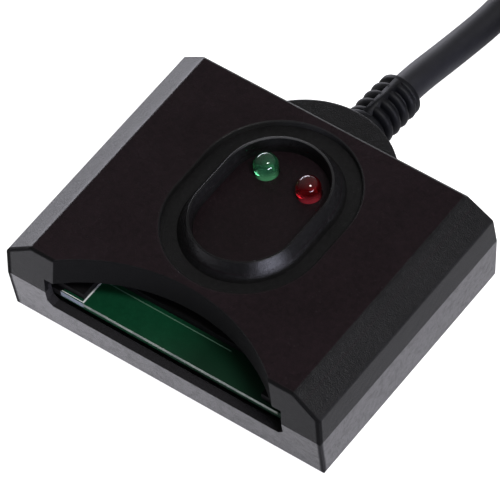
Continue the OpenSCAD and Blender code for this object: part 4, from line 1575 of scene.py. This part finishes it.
@dataclass
class Board(SubAssembly):
    """The circuit board with its print, cut edge, vias and solder, and the parts on it."""

    DRESS: ClassVar[dict[str, tuple[str, ...]]] = {
        "board_green": ("circuit_board",),
        "black_moulding": ("reader_chip", "voltage_regulator", "chip_resistors"),
        "bright_tin": ("chip_legs", "crystal", "header_pins", "led_leads"),
        "can_sleeve": ("electrolytic_capacitor",),
        "fired_ceramic": ("chip_capacitors",),
        "ivory_nylon": ("cable_header", "crimp_plug"),
        "red_insulation": ("wire_red",),
        "white_insulation": ("wire_white",),
        "green_insulation": ("wire_green",),
        "lead_vinyl": ("wire_black", "inner_jacket"),
    }
    top_z: float = 10.5
    low_z: float = 8.9
    front_y: float = -29.9
    print_t: float = 0.03
    mask_left: float = -31.2
    mask_deep: float = 3.2
    mask_lap: float = 0.3
    bright_lines: tuple[Line, ...] = (((-26.2, -29.72), (-20.8, -29.52)), ((-21.15, -29.52), (-20.8, -23.9)))
    far_line: Line = ((-19.6, -23.4), (9.8, -23.18))
    edge_ends: Span = (-26.3, 25.5)
    edge_low: float = 9.72
    bright_end: float = -20.8
    bright_low: float = 9.3
    via_ring: float = 0.3
    via_rim: float = 0.07
    via_pitch: float = 2.6
    via_rows: tuple[tuple[float, float, int], ...] = ((-31.6, -19.0, 12), (31.6, -19.0, 12))
    ring_steps: int = 16
    rim_steps: int = 6
    solder_foot: float = 0.85
    solder_tip: float = 0.36
    solder_h: float = 0.75
    solder_spread: Span = (0.9, 1.1)
    solder_steps: int = 20
    seed: int = 7

    def build(self, palette: Palette) -> None:
        """Dress the board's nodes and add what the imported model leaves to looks.

        Args:
            palette: The finishes.
        """
        super().build(palette)
        for name, (finish, blocks) in self.strips().items():
            piece(name, blocks_of(name, *blocks), palette[finish])
        tin = palette["bright_tin"]
        for name, mesh in (("board_vias", self.vias(tin)), ("solder_joints", self.solder(tin))):
            piece(name, mesh, tin)

    def flat(self, line: Line) -> Block:
        """Give a printed line its height over the board's top."""
        low, high = line
        return (*low, self.top_z), (*high, self.top_z + self.print_t)

    def strips(self) -> dict[str, tuple[str, list[Block]]]:
        """Work out what shows of the board through the slot.

        They are a black cover over its left end and down its front, the printed lines, of which the far one
        is dimmed as painted shade, and the cut edge, drawn as a lighter bluish stretch at the left as painted
        light and as a darker stretch along the rest as painted shade.

        Returns:
            The finish and the blocks of each piece.
        """
        y, top, film = self.front_y, self.top_z, self.print_t / 2
        left, right = self.edge_ends
        out = y - self.print_t
        over = ((self.mask_left, y, top), (left + self.mask_lap, y + self.mask_deep, top + film))
        down = ((self.mask_left, y - film, self.low_z), (left, y, top))
        return {
            # A black cover over the board's left end and down the left of its front.
            "board_black_cover": ("connector_black", [over, down]),
            "board_print": ("board_print", [self.flat(line) for line in self.bright_lines]),
            # The far printed line, dimmed as painted shade.
            "board_line": ("shaded_print", [self.flat(self.far_line)]),
            # Painted shade: the darker stretch of the cut edge.
            "board_shaded_cut_edge": ("shaded_cut_edge", [((self.bright_end, out, self.edge_low), (right, y, top))]),
            # Painted light: the lighter, bluish stretch of the cut edge at the left.
            "board_lit_cut_edge": ("lit_cut_edge", [((left, out, self.bright_low), (self.bright_end, y, top))]),
        }

    def vias(self, finish: bpy.types.Material) -> bpy.types.Mesh:
        """Grow a row of vias along each side of the board.

        Args:
            finish: The vias' material.

        Returns:
            The vias' mesh.
        """
        rings = Grower.make("via_row", ring_tree, ring_radius=self.via_ring * MM,
                            rim_radius=self.via_rim * MM, ring_steps=self.ring_steps,
                            rim_steps=self.rim_steps)
        places = [(x, y + k * self.via_pitch, self.top_z) for x, y, count in self.via_rows
                  for k in range(count)]
        return rings.grow("board_vias", points_of("via_places", places), finish)

    def solder(self, finish: bpy.types.Material) -> bpy.types.Mesh:
        """Grow a cone of solder for each lamp lead, and mirror the cones to the board's underside.

        Args:
            finish: The solder's material.

        Returns:
            The cones' mesh.
        """
        least, most = self.solder_spread
        cones = Grower.make("solder_cones", solder_tree, foot_radius=self.solder_foot * MM,
                            tip_radius=self.solder_tip * MM, height=self.solder_h * MM, least=least,
                            most=most, seed=self.seed, steps=self.solder_steps)
        places = [(side.x + s * LEG_ASIDE, LAMP_Y, -self.low_z) for side in Side for s in (-1, 1)]
        mesh = cones.grow("solder_joints", points_of("solder_places", places), finish)
        mesh.transform(Matrix.Diagonal((1.0, 1.0, -1.0, 1.0)))
        mesh.flip_normals()
        return mesh


@dataclass
class Connector(SubAssembly):
    """The card connector, its contacts and its switch."""

    DRESS: ClassVar[dict[str, tuple[str, ...]]] = {
        "connector_black": ("card_connector",),
        "contact_gold": ("contact_row_front", "contact_row_rear", "contact_tails", "switch_blade",
                         "switch_anvil"),
    }


@dataclass
class Lamps(SubAssembly):
    """The two status lamps: tinted bodies, each with a metal frame and a cup for its chip."""

    DRESS: ClassVar[dict[str, tuple[str, ...]]] = {"green_epoxy": ("led_green",), "red_epoxy": ("led_red",)}
    low_z: float = 16.6
    post_w: float = 0.5
    post_t: float = 0.45
    post_top: float = 20.6
    head_reach: float = 0.95
    head_z: float = 19.6
    cup_r: float = 0.95
    cup_floor_r: float = 0.45
    cup_depth: float = 0.55
    cup_wall: float = 0.18
    chip: float = 0.3
    steps: int = 32

    def build(self, palette: Palette) -> None:
        """Dress the lamps and build their insides.

        Args:
            palette: The finishes.
        """
        super().build(palette)
        for side in Side:
            name = f"lamp_frame_{side.name.lower()}"
            mesh = mesh_of(name, lambda work: self.fill_frame(work, side.x), smooth=False)
            piece(name, mesh, palette["bright_tin"])

    def fill_frame(self, work: bmesh.types.BMesh, x: float) -> None:
        """Fill one lamp's two posts, its cup and its chip.

        Args:
            work: The bmesh that takes them.
            x: The middle of the lamp.
        """
        t, w = self.post_t / 2, self.post_w / 2
        front, back = LAMP_Y - t, LAMP_Y + t
        high, low = self.post_top, self.post_top - self.cup_depth
        under = low - self.cup_wall
        for s in (-1, 1):
            foot = x + s * LEG_ASIDE
            add_box(work, (foot - w, front, self.low_z), (foot + w, back, self.head_z))
        add_box(work, (x + LEG_ASIDE - self.head_reach, front, self.head_z),
                (x + LEG_ASIDE + w, back, high))
        add_box(work, (x - LEG_ASIDE - w, front, self.head_z), (x - w / 2, back, under))
        middle, c = x - LEG_ASIDE / 2, self.chip / 2
        rim, base = self.cup_r, self.cup_floor_r
        cup = ((0.0, under), (base + self.cup_wall, under), (rim + self.cup_wall, high), (rim, high),
               (base, low), (0.0, low))
        add_revolve(work, cup, self.steps, (middle, LAMP_Y, 0.0))
        add_box(work, (middle - c, LAMP_Y - c, low), (middle + c, LAMP_Y + c, low + self.chip))


@dataclass
class Plug(SubAssembly):
    """The USB plug at the lead's far end."""

    DRESS: ClassVar[dict[str, tuple[str, ...]]] = {
        "relief_vinyl": ("plug_grip",),
        "plug_nickel": ("plug_shell",),
        "ivory_nylon": ("plug_tongue",),
        "contact_gold": ("plug_contacts",),
    }


def main() -> None:
    """Build the reader, camera and lead first."""
    logging.basicConfig(level=logging.INFO, format="%(name)s: %(message)s")
    palette = Palette()
    PhotoCamera().build()
    Lead().build(palette, Relief().build(palette))
    for part in (Housing(), Board(), Connector(), Lamps(), Plug()):
        part.build(palette)
    Studio().build(palette)


if __name__ == "__main__":
    main()
